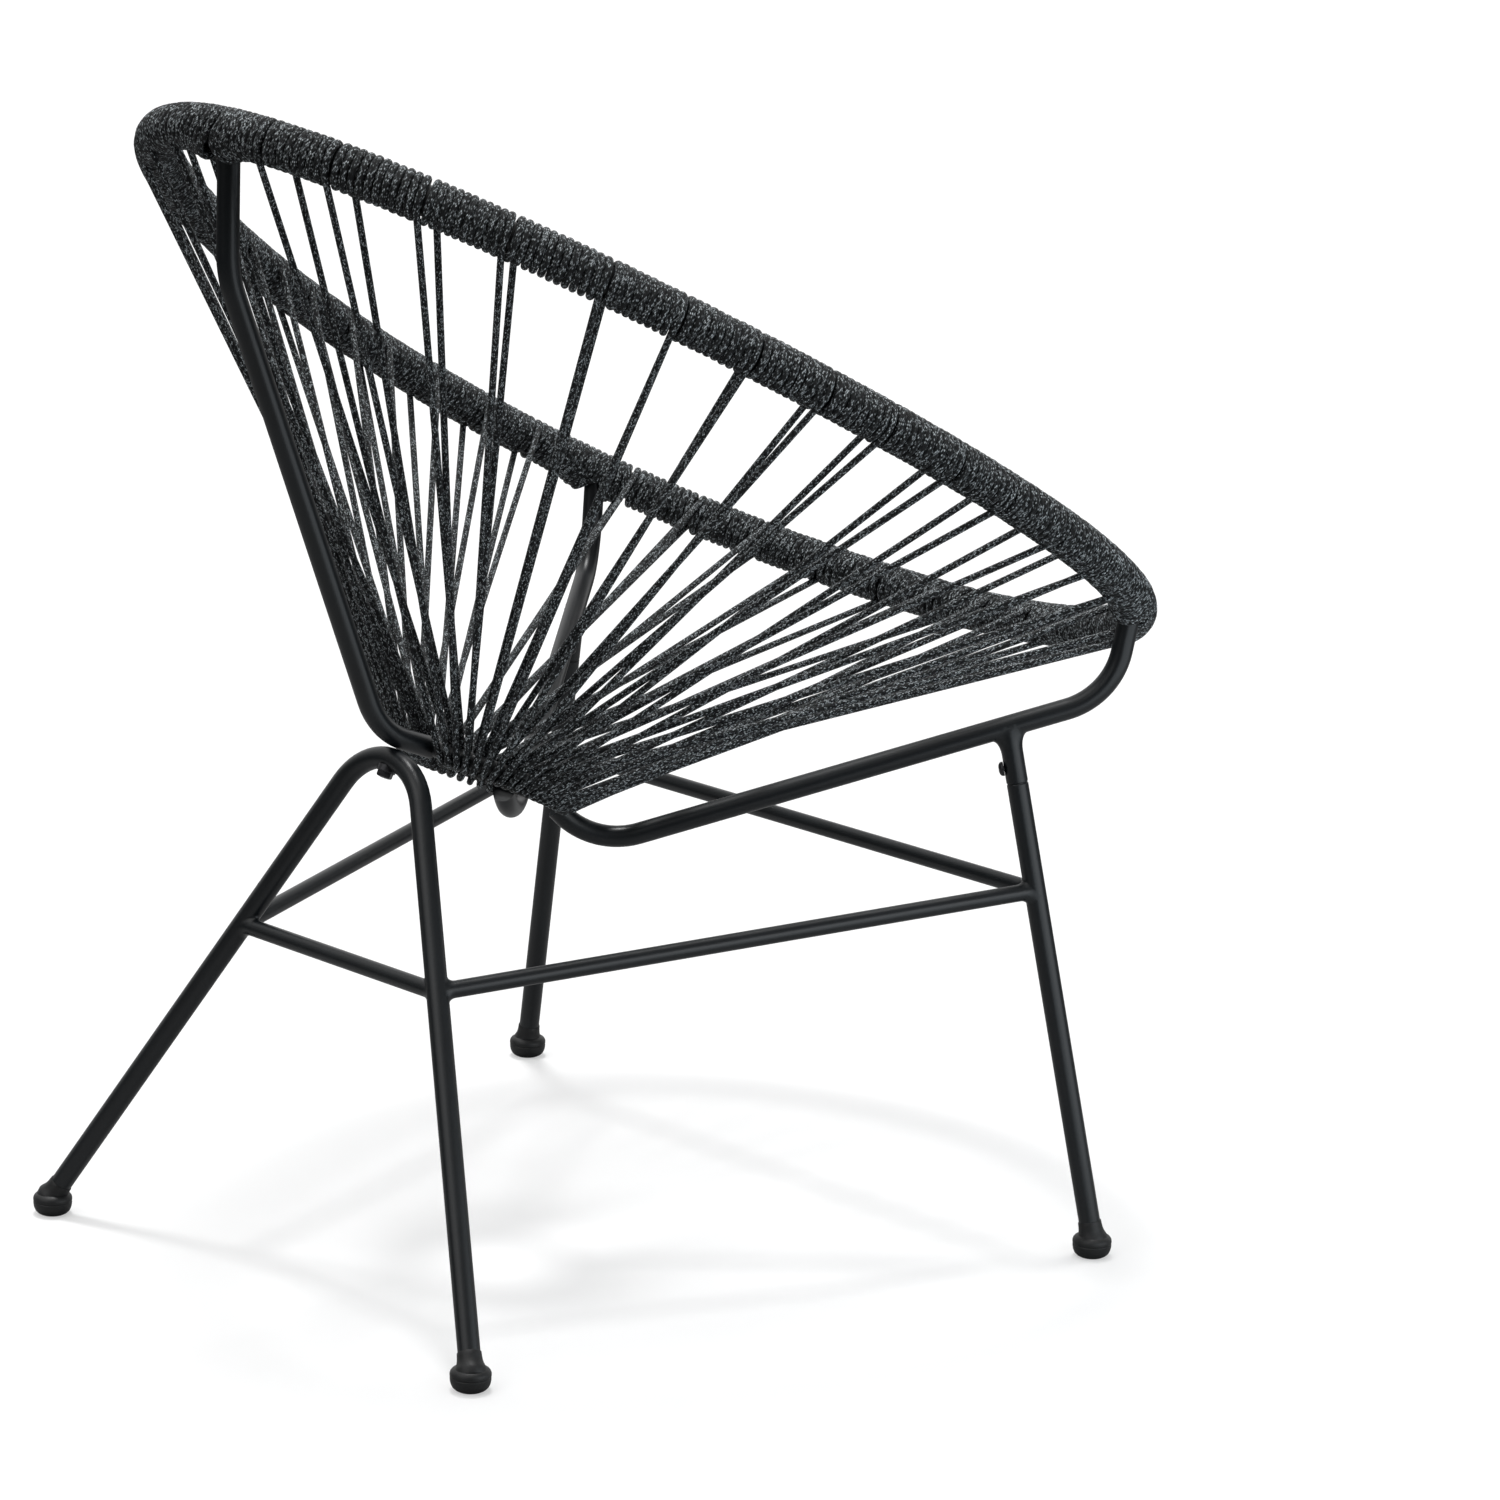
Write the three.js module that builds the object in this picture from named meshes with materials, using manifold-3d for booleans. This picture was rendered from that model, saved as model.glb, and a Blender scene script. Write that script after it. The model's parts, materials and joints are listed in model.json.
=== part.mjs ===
// A lounge chair of bent steel tube with a seat strung in round cord, in millimetres.
// The sitter faces -Y, +X is the sitter's left hand, +Z is up, and the origin lies on the floor
// under the middle of the cord-wound hoop.
import * as THREE from "three";
import { mergeVertices } from "three/addons/utils/BufferGeometryUtils.js";
import Module from "manifold-3d";

const wasm = await Module();
wasm.setup();

const { degToRad } = THREE.MathUtils;
const UP = new THREE.Vector3(0, 0, 1);

// Tubes, rods and cord
const TUBE_RADIUS = 8; // legs, spine and front arms
const TUBE_BORE_RADIUS = 6.5; // inside of the legs and sockets
const HOOP_TUBE_RADIUS = 11;
const RING_ROD_RADIUS = 6;
const STRETCHER_RADIUS = 6.25;
const CORD_RADIUS = 2.5;
const SEAT_GAP = 0.3; // between pieces that touch
const WELD_SETBACK = 4; // from one tube's middle to the end of another welded on its side
const CUT_OVERRUN = 40; // how far a cutting tool runs past what it cuts

// Hoop: a flat egg-shaped loop, high at the back, with its widest part towards the front
const HOOP_HEIGHT = 628.4; // middle of the hoop above the floor
const HOOP_TILT = degToRad(30.3);
const HOOP_HALF_LENGTH = 432.5; // along the slope
const HOOP_HALF_WIDTH = 317;
const HOOP_SHOULDER_SHARES = [0.146, -0.064]; // second and third waves of its width
const HOOP_NOSE_SHARE = 0.2; // moves the widest part forward

// Seat ring
const RING_RADIUS = 60;
const RING_TILT = degToRad(26);
const RING_DEPTH = 125.5; // its middle behind the origin
const RING_HEIGHT = 357;

// Spine: from the back of the hoop to the back of the ring, in the plane X = 0
const SPINE_TOP_INSET = 8; // its end lies in front of the middle of the hoop's tube
const SPINE_TOP_DROP = 6; // and below it
const SPINE_SHOULDER_DEPTH = 366.5;
const SPINE_SHOULDER_DROP = 99.6; // below the middle of the hoop's back
const SPINE_SHOULDER_BEND = 80;
const SPINE_HEEL_DEPTH = 229.3;
const SPINE_HEEL_RISE = 46.1; // above the ring's middle
const SPINE_HEEL_BEND = 60;

// Front arms: from the ring, down through a dip, out to a knee and up to the hoop
const ARM_RING_ANGLE = degToRad(31); // from the ring's front
const ARM_RING_DROP = 7.4; // its end is welded on the underside of the ring's rod
const ARM_RING_INSET = 2;
const ARM_HOOP_SHARE = 0.357; // of the hoop's length, from its back
const ARM_DIP_SIDE = 46.3;
const ARM_DIP_DEPTH = 62.6;
const ARM_DIP_HEIGHT = 299.7;
const ARM_KNEE_SIDE = 288.4;
const ARM_KNEE_REACH = 228; // in front of the origin
const ARM_KNEE_DROP = 71.7; // below the hoop's middle line above it
const ARM_BEND = 56.5;

// Front legs and the sockets under the arms
const SOCKET_SHARE = 0.8; // place on the straight run from dip to knee
const SOCKET_LENGTH = 34.5; // from the arm's surface to the seam with the leg
const SOCKET_FLARE = 4; // weld fillet, sideways
const SOCKET_FLARE_LENGTH = 11;
const SPIGOT_LENGTH = 24; // on each side of the seam
const FRONT_FOOT_SIDE = 322.6;
const FRONT_FOOT_REACH = 198.1;
const SCREW_ABOVE_SEAM = 12;
const SCREW_SHANK_RADIUS = 2;
const SCREW_HEAD_RADIUS = 5;
const SCREW_HEAD_HEIGHT = 3;

// Back leg: one tube bent into an upside-down U, bolted under the spine's heel
const BACK_FOOT_SIDE = 249.4;
const BACK_FOOT_DEPTH = 346.1;
const BACK_LEG_BEND = 50;
const SADDLE_ANGLE = degToRad(5); // place of the bolt on the heel bend, from the bend's front end
const BOLT_SHANK_RADIUS = 3;
const BOLT_DEPTH = 5; // past the middle of the spine's tube
const BOLT_HEAD_RADIUS = 6;
const BOLT_HEAD_HEIGHT = 4;
const HEAD_BEVEL = 1; // rounded edge of screw and bolt heads
const WASHER_RADIUS = 7;
const WASHER_THICKNESS = 2.5; // under the leg; its wings lie up its sides

// Stretchers between the legs
const BACK_STRETCHER_HEIGHT = 241;
const FRONT_STRETCHER_HEIGHT = 273;
const WELD_FLARE = 2;
const WELD_FLARE_LENGTH = 6;

// Rubber foot caps, upright on the floor, with a collar along the leg
const CAP_RADIUS = 14.5;
const CAP_BASE_RADIUS = 9.5;
const CAP_CHAMFER_HEIGHT = 6;
const CAP_SIDE_HEIGHT = 12;
const CAP_SHOULDER_HEIGHT = 16;
const CAP_SHOULDER_RADIUS = 12.2;
const CAP_ENTRY_HEIGHT = 14; // where the leg's axis crosses the cap's axis
const COLLAR_RADIUS = 9.8;
const COLLAR_LENGTH = 13; // above the leg's end
const LEG_END_HEIGHT = 11; // end of the leg's axis above the floor

// Cord: wound round the hoop, and strung in pairs down to the ring and back
const FRONT_PAIRS = 12; // half of them looped on the ring behind each arm's weld
const PAIRS_PER_RUN = 2;
const SIDE_PAIR_SHARES = [
  0.056, 0.116, 0.192, 0.262, 0.344, 0.408, 0.475, 0.542, 0.603, 0.674, 0.734, 0.804, 0.87, 0.928,
]; // of the hoop's length from spine to arm
const RIBS_PER_RUN = 2;
const RIB_DEPTH = 1.6;
const RUN_GAP = 0.5; // between neighbouring runs of winding
const SPINE_SIDE_ROOM = 2.8; // from a loop on the ring to the spine
const ARM_SIDE_ROOM = 1.5; // and to an arm
const FRONT_LOOP_PITCH = 8; // along the ring, between the front's loops behind an arm's weld

// Facets
const TUBE_SIDES = 12;
const BORE_SIDES = 8;
const HOOP_SIDES = 8;
const CORD_SIDES = 5;
const BEND_STEPS = 6;
const LOOP_STEPS = 4;
const RING_STEPS = 40;
const CAP_SIDES = 16;
const FLARE_STEPS = 3;
const HOOP_SAMPLES = 720;

// Worked out from the sizes above
const WRAP_RADIUS = (HOOP_TUBE_RADIUS + SEAT_GAP + 2 * CORD_RADIUS) / Math.cos(Math.PI / HOOP_SIDES);
const WRAP_BORE_RADIUS = (HOOP_TUBE_RADIUS + SEAT_GAP) / Math.cos(Math.PI / HOOP_SIDES);
const STRAND_REACH = HOOP_TUBE_RADIUS + 2 * SEAT_GAP + CORD_RADIUS; // from the hoop's middle to a strand's end
const STRAND_SHIFT = CORD_RADIUS + SEAT_GAP / 2; // sideways, so that a pair's strands pass each other
const LOOP_RADIUS = (RING_ROD_RADIUS + SEAT_GAP + CORD_RADIUS) / Math.cos(Math.PI / (2 * LOOP_STEPS));

const frameMaterial = new THREE.MeshStandardMaterial({ color: 0x23282c, roughness: 0.45, metalness: 0.3 });
const cordMaterial = new THREE.MeshStandardMaterial({ color: 0x1d1e1f, roughness: 0.9, metalness: 0 });
const rubberMaterial = new THREE.MeshStandardMaterial({ color: 0x141515, roughness: 0.7, metalness: 0 });
const fastenerMaterial = new THREE.MeshStandardMaterial({ color: 0x1b1c1e, roughness: 0.35, metalness: 0.8 });

/** The unit vector from one point to another. */
function towards(from, to) {
  return to.clone().sub(from).normalize();
}

/** The point at a distance from a point along a direction. */
function along(from, direction, distance) {
  return from.clone().addScaledVector(direction, distance);
}

/** A centre line given as stations: the places where the tube's section is drawn, and its direction there. */
class StationPath extends THREE.Curve {
  constructor(stations) {
    super();
    this.stations = stations;
    this.steps = stations.length - 1;
  }

  getPointAt(u, target = new THREE.Vector3()) {
    return target.copy(this.stations[Math.round(u * this.steps)].point);
  }

  getTangentAt(u, target = new THREE.Vector3()) {
    return target.copy(this.stations[Math.round(u * this.steps)].tangent);
  }
}

/** Straight runs between corners, joined by round bends of the given radii. */
function bentPath(corners, bendRadii) {
  const stations = [{ point: corners[0], tangent: towards(corners[0], corners[1]) }];
  bendRadii.forEach((radius, i) => {
    const [before, corner, after] = corners.slice(i, i + 3);
    const back = towards(corner, before);
    const ahead = towards(corner, after);
    const half = back.angleTo(ahead) / 2;
    const middle = along(corner, back.clone().add(ahead).normalize(), radius / Math.sin(half));
    const spoke = along(corner, back, radius / Math.tan(half)).sub(middle);
    const axis = new THREE.Vector3().crossVectors(ahead, back).normalize();
    for (let step = 0; step <= BEND_STEPS; step += 1) {
      const turn = ((Math.PI - 2 * half) * step) / BEND_STEPS;
      stations.push({
        point: spoke.clone().applyAxisAngle(axis, turn).add(middle),
        tangent: back.clone().negate().applyAxisAngle(axis, turn),
      });
    }
  });
  stations.push({ point: corners.at(-1), tangent: towards(corners.at(-2), corners.at(-1)) });
  return new StationPath(stations);
}

/** The corners of a regular polygon. */
function polygon(radius, sides) {
  return Array.from({ length: sides }, (_, i) => {
    const angle = (2 * Math.PI * i) / sides;
    return new THREE.Vector2(radius * Math.cos(angle), radius * Math.sin(angle));
  });
}

/** A bar along a path, or a tube if it has a bore. */
function barAlong(path, radius, sides, boreRadius = 0) {
  const section = new THREE.Shape(polygon(radius, sides));
  if (boreRadius > 0) section.holes.push(new THREE.Path(polygon(boreRadius, BORE_SIDES)));
  return new THREE.ExtrudeGeometry(section, { extrudePath: path, steps: path.steps });
}

/** Turns a shape made along +Y to lie along the line from one point towards another. */
function laidAlong(geometry, from, to) {
  const turn = new THREE.Quaternion().setFromUnitVectors(new THREE.Vector3(0, 1, 0), towards(from, to));
  return geometry.applyQuaternion(turn).translate(from.x, from.y, from.z);
}

/** A turned piece whose axis runs from one point towards another; each profile point is radius, height. */
function turned(profile, from, to, sides = TUBE_SIDES) {
  const points = profile.map(([radius, height]) => new THREE.Vector2(radius, height));
  return laidAlong(new THREE.LatheGeometry(points, sides), from, to);
}

/** A plain round bar between two points. */
function rod(from, to, radius, sides = TUBE_SIDES) {
  const length = from.distanceTo(to);
  return turned([[0, 0], [radius, 0], [radius, length], [0, length]], from, to, sides);
}

/** A closed shape as a solid that can be joined and cut. */
function solid(geometry) {
  const bare = geometry.clone();
  bare.deleteAttribute("normal");
  bare.deleteAttribute("uv");
  const welded = mergeVertices(bare, SEAT_GAP / 1000);
  return new wasm.Manifold(
    new wasm.Mesh({
      numProp: 3,
      vertProperties: new Float32Array(welded.attributes.position.array),
      triVerts: new Uint32Array(welded.index.array),
    }),
  );
}

/** One shape with others joined to it and others cut from it. */
function shaped(geometry, { join = [], cut = [] }) {
  let made = solid(geometry);
  for (const other of join) made = made.add(solid(other));
  for (const other of cut) made = made.subtract(solid(other));
  const { vertProperties, triVerts } = made.getMesh();
  return new THREE.BufferGeometry()
    .setAttribute("position", new THREE.BufferAttribute(vertProperties, 3))
    .setIndex(new THREE.BufferAttribute(triVerts, 1));
}

const chair = new THREE.Group();

/** Adds a named piece to a group. */
function addPiece(group, name, geometry, material) {
  geometry.computeVertexNormals();
  const piece = new THREE.Mesh(geometry, material);
  piece.name = name;
  group.add(piece);
  return piece;
}

/** The hoop's centre line, from its back round by +X. */
class HoopCurve extends THREE.Curve {
  getPoint(u, target = new THREE.Vector3()) {
    const turn = 2 * Math.PI * u;
    const [second, third] = HOOP_SHOULDER_SHARES;
    const side = Math.sin(turn) + second * Math.sin(2 * turn) + third * Math.sin(3 * turn);
    const slope = HOOP_HALF_LENGTH * (Math.cos(turn) + HOOP_NOSE_SHARE * (Math.cos(2 * turn) - 1));
    return target.set(
      HOOP_HALF_WIDTH * side,
      slope * Math.cos(HOOP_TILT),
      HOOP_HEIGHT + slope * Math.sin(HOOP_TILT),
    );
  }
}

const hoop = new HoopCurve();
hoop.arcLengthDivisions = HOOP_SAMPLES;
const hoopNormal = new THREE.Vector3(0, -Math.sin(HOOP_TILT), Math.cos(HOOP_TILT));

/** The hoop's place and direction at a share of its length from its back. */
function hoopStation(share) {
  const u = share - Math.floor(share);
  return { point: hoop.getPointAt(u), tangent: hoop.getTangentAt(u) };
}

const ringNormal = new THREE.Vector3(0, -Math.sin(RING_TILT), Math.cos(RING_TILT));

/** The ring's place, direction and outward side at an angle from its back, round by +X. */
function ringStation(angle) {
  const backward = new THREE.Vector3(0, Math.cos(RING_TILT), Math.sin(RING_TILT));
  const outward = new THREE.Vector3(Math.sin(angle), 0, 0).addScaledVector(backward, Math.cos(angle));
  const tangent = new THREE.Vector3(Math.cos(angle), 0, 0).addScaledVector(backward, -Math.sin(angle));
  const point = along(new THREE.Vector3(0, RING_DEPTH, RING_HEIGHT), outward, RING_RADIUS);
  return { point, tangent, outward };
}

/** Shares of the hoop's length where the strung pairs leave one side, and where its runs of winding end. */
function sideLayout() {
  const pairs = SIDE_PAIR_SHARES.map((share) => share * ARM_HOOP_SHARE);
  return { pairs, ends: runEnds(pairs, 0, ARM_HOOP_SHARE) };
}

/** The same for the front, from arm to arm. */
function frontLayout() {
  const from = ARM_HOOP_SHARE;
  const to = 1 - ARM_HOOP_SHARE;
  const pairs = Array.from({ length: FRONT_PAIRS }, (_, i) => from + ((to - from) * (i + 0.5)) / FRONT_PAIRS);
  return { pairs, ends: runEnds(pairs, from, to) };
}

/** Where runs of winding meet: halfway between the last pair of one and the first of the next. */
function runEnds(pairs, from, to) {
  const ends = [from];
  for (let i = PAIRS_PER_RUN; i < pairs.length; i += PAIRS_PER_RUN) ends.push((pairs[i - 1] + pairs[i]) / 2);
  ends.push(to);
  return ends;
}

const side = sideLayout();
const front = frontLayout();

/** Shares of the hoop's length at which a run's ribs begin and end, with room for the gap to the next run. */
function ribShares(from, to) {
  const trim = RUN_GAP / 2 / hoop.getLength();
  return Array.from(
    { length: RIBS_PER_RUN + 1 },
    (_, i) => from + trim + ((to - from - 2 * trim) * i) / RIBS_PER_RUN,
  );
}

/** Every share of the hoop's length where the hoop's own section is drawn: wherever a rib begins or ends. */
function hoopShares() {
  const shares = [];
  const addRuns = (ends) => ends.slice(1).forEach((to, i) => shares.push(...ribShares(ends[i], to)));
  addRuns(side.ends);
  addRuns(front.ends);
  addRuns(side.ends.map((end) => 1 - end).reverse());
  return shares;
}

/** The hoop's tube, with its radius grown by a clearance. */
function hoopTube(clearance = 0) {
  const stations = hoopShares().map(hoopStation);
  stations.push(stations[0]);
  const path = new StationPath(stations);
  return new THREE.TubeGeometry(path, path.steps, HOOP_TUBE_RADIUS + clearance, HOOP_SIDES, true);
}

/** The seat ring, with its radius grown by a clearance. */
function ringRod(clearance = 0) {
  return new THREE.TorusGeometry(RING_RADIUS, RING_ROD_RADIUS + clearance, HOOP_SIDES, RING_STEPS)
    .rotateX(RING_TILT)
    .translate(0, RING_DEPTH, RING_HEIGHT);
}


// Spine
const spineHeel = new THREE.Vector3(0, SPINE_HEEL_DEPTH, RING_HEIGHT + SPINE_HEEL_RISE);
const hoopBack = hoopStation(0).point;
const ringBack = ringStation(0).point;
const spinePath = bentPath(
  [
    new THREE.Vector3(0, hoopBack.y - SPINE_TOP_INSET, hoopBack.z - SPINE_TOP_DROP),
    new THREE.Vector3(0, SPINE_SHOULDER_DEPTH, hoopBack.z - SPINE_SHOULDER_DROP),
    spineHeel,
    along(ringBack, towards(ringBack, spineHeel), WELD_SETBACK),
  ],
  [SPINE_SHOULDER_BEND, SPINE_HEEL_BEND],
);

/** The place on the spine's heel bend where the back leg is bolted, and the direction down out of it. */
function saddle() {
  const heelEnd = spinePath.stations.at(-2);
  const down = heelEnd.tangent.clone().cross(new THREE.Vector3(-1, 0, 0));
  const middle = along(heelEnd.point, down, -SPINE_HEEL_BEND);
  const direction = down.applyAxisAngle(new THREE.Vector3(1, 0, 0), SADDLE_ANGLE);
  return { point: along(middle, direction, SPINE_HEEL_BEND), direction };
}

const seat = saddle();
const boltEnd = along(seat.point, seat.direction, -BOLT_DEPTH);
const boltFoot = along(seat.point, seat.direction, CUT_OVERRUN);
const boltHole = rod(along(boltEnd, seat.direction, -SEAT_GAP), boltFoot, BOLT_SHANK_RADIUS + SEAT_GAP, BORE_SIDES);

function addSpine(group) {
  const bar = barAlong(spinePath, TUBE_RADIUS, TUBE_SIDES);
  const cuts = [hoopTube(SEAT_GAP), ringRod(SEAT_GAP), boltHole];
  addPiece(group, "back_spine", shaped(bar, { cut: cuts }), frameMaterial);
}

// Front arms
/** The corners of one front arm's centre line; hand is 1 on +X and -1 on -X. */
function armCorners(hand) {
  const kneeHeight = hoopStation(hand * ARM_HOOP_SHARE).point.z - ARM_KNEE_DROP;
  return {
    dip: new THREE.Vector3(hand * ARM_DIP_SIDE, ARM_DIP_DEPTH, ARM_DIP_HEIGHT),
    knee: new THREE.Vector3(hand * ARM_KNEE_SIDE, -ARM_KNEE_REACH, kneeHeight),
  };
}

/** The centre line of one front arm. */
function armPath(hand) {
  const { dip, knee } = armCorners(hand);
  const { point, outward } = ringStation(Math.PI - hand * ARM_RING_ANGLE);
  const weld = along(along(point, outward, -ARM_RING_INSET), ringNormal, -ARM_RING_DROP);
  const top = hoopStation(hand * ARM_HOOP_SHARE).point;
  return bentPath([weld, dip, knee, top], [ARM_BEND, ARM_BEND]);
}

/** The point on an arm's axis that the front leg's axis meets. */
function armSocketPoint(hand) {
  const { dip, knee } = armCorners(hand);
  return dip.lerp(knee, SOCKET_SHARE);
}

function addArm(group, hand, word) {
  const bar = barAlong(armPath(hand), TUBE_RADIUS, TUBE_SIDES);
  addPiece(
    group,
    "front_arm_" + word,
    shaped(bar, { cut: [hoopTube(SEAT_GAP), ringRod(SEAT_GAP)] }),
    frameMaterial,
  );
}

// Back leg
/** Its centre line: a tangent from each foot to the bend under the saddle. */
function backLegPath() {
  const top = along(seat.point, seat.direction, 2 * TUBE_RADIUS + SEAT_GAP);
  const floorMiddle = new THREE.Vector3(0, BACK_FOOT_DEPTH, 0);
  const rise = top.distanceTo(floorMiddle);
  const bendRise = rise - BACK_LEG_BEND;
  const reach = Math.hypot(BACK_FOOT_SIDE, bendRise);
  const legAngle = Math.atan2(bendRise, BACK_FOOT_SIDE) + Math.asin(BACK_LEG_BEND / reach);
  const cornerRise = BACK_FOOT_SIDE * Math.tan(legAngle);
  const corner = along(floorMiddle, towards(floorMiddle, top), cornerRise);
  const left = new THREE.Vector3(BACK_FOOT_SIDE, BACK_FOOT_DEPTH, 0);
  const right = new THREE.Vector3(-BACK_FOOT_SIDE, BACK_FOOT_DEPTH, 0);
  return { corner, left, right };
}

const backLeg = backLegPath();

/** The two ends of a leg's straight axis, on the floor and at its top; hand is 1 on +X and -1 on -X. */
function legAxis(place, hand) {
  if (place === "back") return { floor: hand > 0 ? backLeg.left : backLeg.right, top: backLeg.corner };
  const floor = new THREE.Vector3(hand * FRONT_FOOT_SIDE, -FRONT_FOOT_REACH, 0);
  return { floor, top: armSocketPoint(hand) };
}

/** The point on a leg's axis at a height above the floor. */
function legPoint(place, hand, height) {
  const { floor, top } = legAxis(place, hand);
  return floor.clone().lerp(top, height / top.z);
}

/** The path of the whole tube. */
function backLegCentre() {
  const ends = [1, -1].map((hand) => legPoint("back", hand, LEG_END_HEIGHT));
  return bentPath([ends[0], backLeg.corner, ends[1]], [BACK_LEG_BEND]);
}

function addBackLeg(group) {
  const tube = barAlong(backLegCentre(), TUBE_RADIUS, TUBE_SIDES, TUBE_BORE_RADIUS);
  addPiece(group, "back_leg", shaped(tube, { cut: [boltHole] }), frameMaterial);
}

/** The bolt from below through the back leg into the spine, and its saddle washer. */
function addBolt(group) {
  const legUnderside = BOLT_DEPTH + 3 * TUBE_RADIUS + SEAT_GAP;
  const headSeat = legUnderside + WASHER_THICKNESS + SEAT_GAP;
  const headEnd = headSeat + BOLT_HEAD_HEIGHT;
  const profile = [
    [0, 0],
    [BOLT_SHANK_RADIUS, 0],
    [BOLT_SHANK_RADIUS, headSeat],
    [BOLT_HEAD_RADIUS, headSeat],
    [BOLT_HEAD_RADIUS, headEnd - HEAD_BEVEL],
    [BOLT_HEAD_RADIUS - HEAD_BEVEL, headEnd],
    [0, headEnd],
  ];
  addPiece(group, "back_leg_bolt", turned(profile, boltEnd, boltFoot), fastenerMaterial);
  const hole = BOLT_SHANK_RADIUS + SEAT_GAP;
  const low = legUnderside - WASHER_THICKNESS;
  const high = legUnderside + WASHER_THICKNESS;
  const ring = [[hole, low], [WASHER_RADIUS, low], [WASHER_RADIUS, high], [hole, high], [hole, low]];
  const leg = barAlong(backLegCentre(), TUBE_RADIUS + SEAT_GAP, TUBE_SIDES);
  const washer = shaped(turned(ring, boltEnd, boltFoot), { cut: [leg] });
  addPiece(group, "back_leg_washer", washer, fastenerMaterial);
}

// Front legs, sockets, spigots and screws
/** The seam between socket and leg on one side, and the direction up the leg. */
function seamOf(hand) {
  const top = armSocketPoint(hand);
  const { floor } = legAxis("front", hand);
  const upward = towards(floor, top);
  return { top, floor, upward, point: along(top, upward, -(TUBE_RADIUS + SOCKET_LENGTH)) };
}

/** The screw's axis: square to the leg, pointing back and inwards under the arm. */
function screwAxis(hand) {
  const seam = seamOf(hand);
  const inward = towards(seam.top, armCorners(hand).dip).projectOnPlane(seam.upward).normalize();
  return { from: along(seam.point, seam.upward, SCREW_ABOVE_SEAM), inward };
}

/** The hole for the screw's shank, through the socket's wall into the spigot. */
function screwHole(hand) {
  const { from, inward } = screwAxis(hand);
  const start = along(from, inward, -SEAT_GAP);
  return rod(start, along(from, inward, CUT_OVERRUN), SCREW_SHANK_RADIUS + SEAT_GAP, BORE_SIDES);
}

function addSocket(group, hand, word) {
  const { top, point } = seamOf(hand);
  const full = SOCKET_LENGTH + WELD_SETBACK;
  const profile = [
    [TUBE_BORE_RADIUS, 0],
    [TUBE_RADIUS, 0],
  ];
  for (let i = 0; i <= FLARE_STEPS; i += 1) {
    const share = i / FLARE_STEPS;
    profile.push([
      TUBE_RADIUS + SOCKET_FLARE * share ** 2,
      SOCKET_LENGTH - SOCKET_FLARE_LENGTH * (1 - share),
    ]);
  }
  profile.push([0, full], [0, SPIGOT_LENGTH + 2 * SEAT_GAP], [TUBE_BORE_RADIUS, SPIGOT_LENGTH + 2 * SEAT_GAP]);
  profile.push([TUBE_BORE_RADIUS, 0]);
  const arm = barAlong(armPath(hand), TUBE_RADIUS + SEAT_GAP, TUBE_SIDES);
  const cone = turned(profile, point, top);
  addPiece(group, "leg_socket_" + word, shaped(cone, { cut: [arm, screwHole(hand)] }), frameMaterial);
}

function addSpigot(group, hand, word) {
  const { point, upward } = seamOf(hand);
  const low = along(point, upward, -SPIGOT_LENGTH);
  const high = along(point, upward, SPIGOT_LENGTH);
  const bar = rod(low, high, TUBE_BORE_RADIUS - SEAT_GAP);
  addPiece(group, "leg_spigot_" + word, shaped(bar, { cut: [screwHole(hand)] }), frameMaterial);
}

function addScrew(group, hand, word) {
  const { from, inward } = screwAxis(hand);
  const headSeat = TUBE_RADIUS + SEAT_GAP;
  const headEnd = headSeat + SCREW_HEAD_HEIGHT;
  const profile = [
    [0, 0],
    [SCREW_SHANK_RADIUS, 0],
    [SCREW_SHANK_RADIUS, headSeat],
    [SCREW_HEAD_RADIUS, headSeat],
    [SCREW_HEAD_RADIUS, headEnd - HEAD_BEVEL],
    [SCREW_HEAD_RADIUS - HEAD_BEVEL, headEnd],
    [0, headEnd],
  ];
  addPiece(group, "socket_screw_" + word, turned(profile, from, along(from, inward, headEnd)), fastenerMaterial);
}

function addFrontLeg(group, hand, word) {
  const { point, upward } = seamOf(hand);
  const low = legPoint("front", hand, LEG_END_HEIGHT);
  const length = low.distanceTo(point) - SEAT_GAP;
  const wall = [
    [TUBE_BORE_RADIUS, 0],
    [TUBE_RADIUS, 0],
    [TUBE_RADIUS, length],
    [TUBE_BORE_RADIUS, length],
    [TUBE_BORE_RADIUS, 0],
  ];
  addPiece(group, "front_leg_" + word, turned(wall, low, along(low, upward, length)), frameMaterial);
}

// Stretchers
/** A stretcher between two points on leg axes, swelling into its welds, grown by a clearance. */
function stretcherBar(from, to, clearance = 0) {
  const length = from.distanceTo(to);
  const radius = STRETCHER_RADIUS + clearance;
  const flareStart = TUBE_RADIUS + WELD_FLARE_LENGTH;
  const half = [[0, WELD_SETBACK], [radius + WELD_FLARE, WELD_SETBACK]];
  for (let i = FLARE_STEPS; i >= 0; i -= 1) {
    const share = i / FLARE_STEPS;
    half.push([radius + WELD_FLARE * share ** 2, flareStart - WELD_FLARE_LENGTH * share]);
  }
  const mirrored = half.map(([r, height]) => [r, length - height]).reverse();
  return turned([...half, ...mirrored], from, to);
}

/** The full-length axis of a leg as a cutting bar. */
function legCutter(place, hand) {
  const { floor, top } = legAxis(place, hand);
  return rod(floor, top, TUBE_RADIUS + SEAT_GAP);
}

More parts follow.
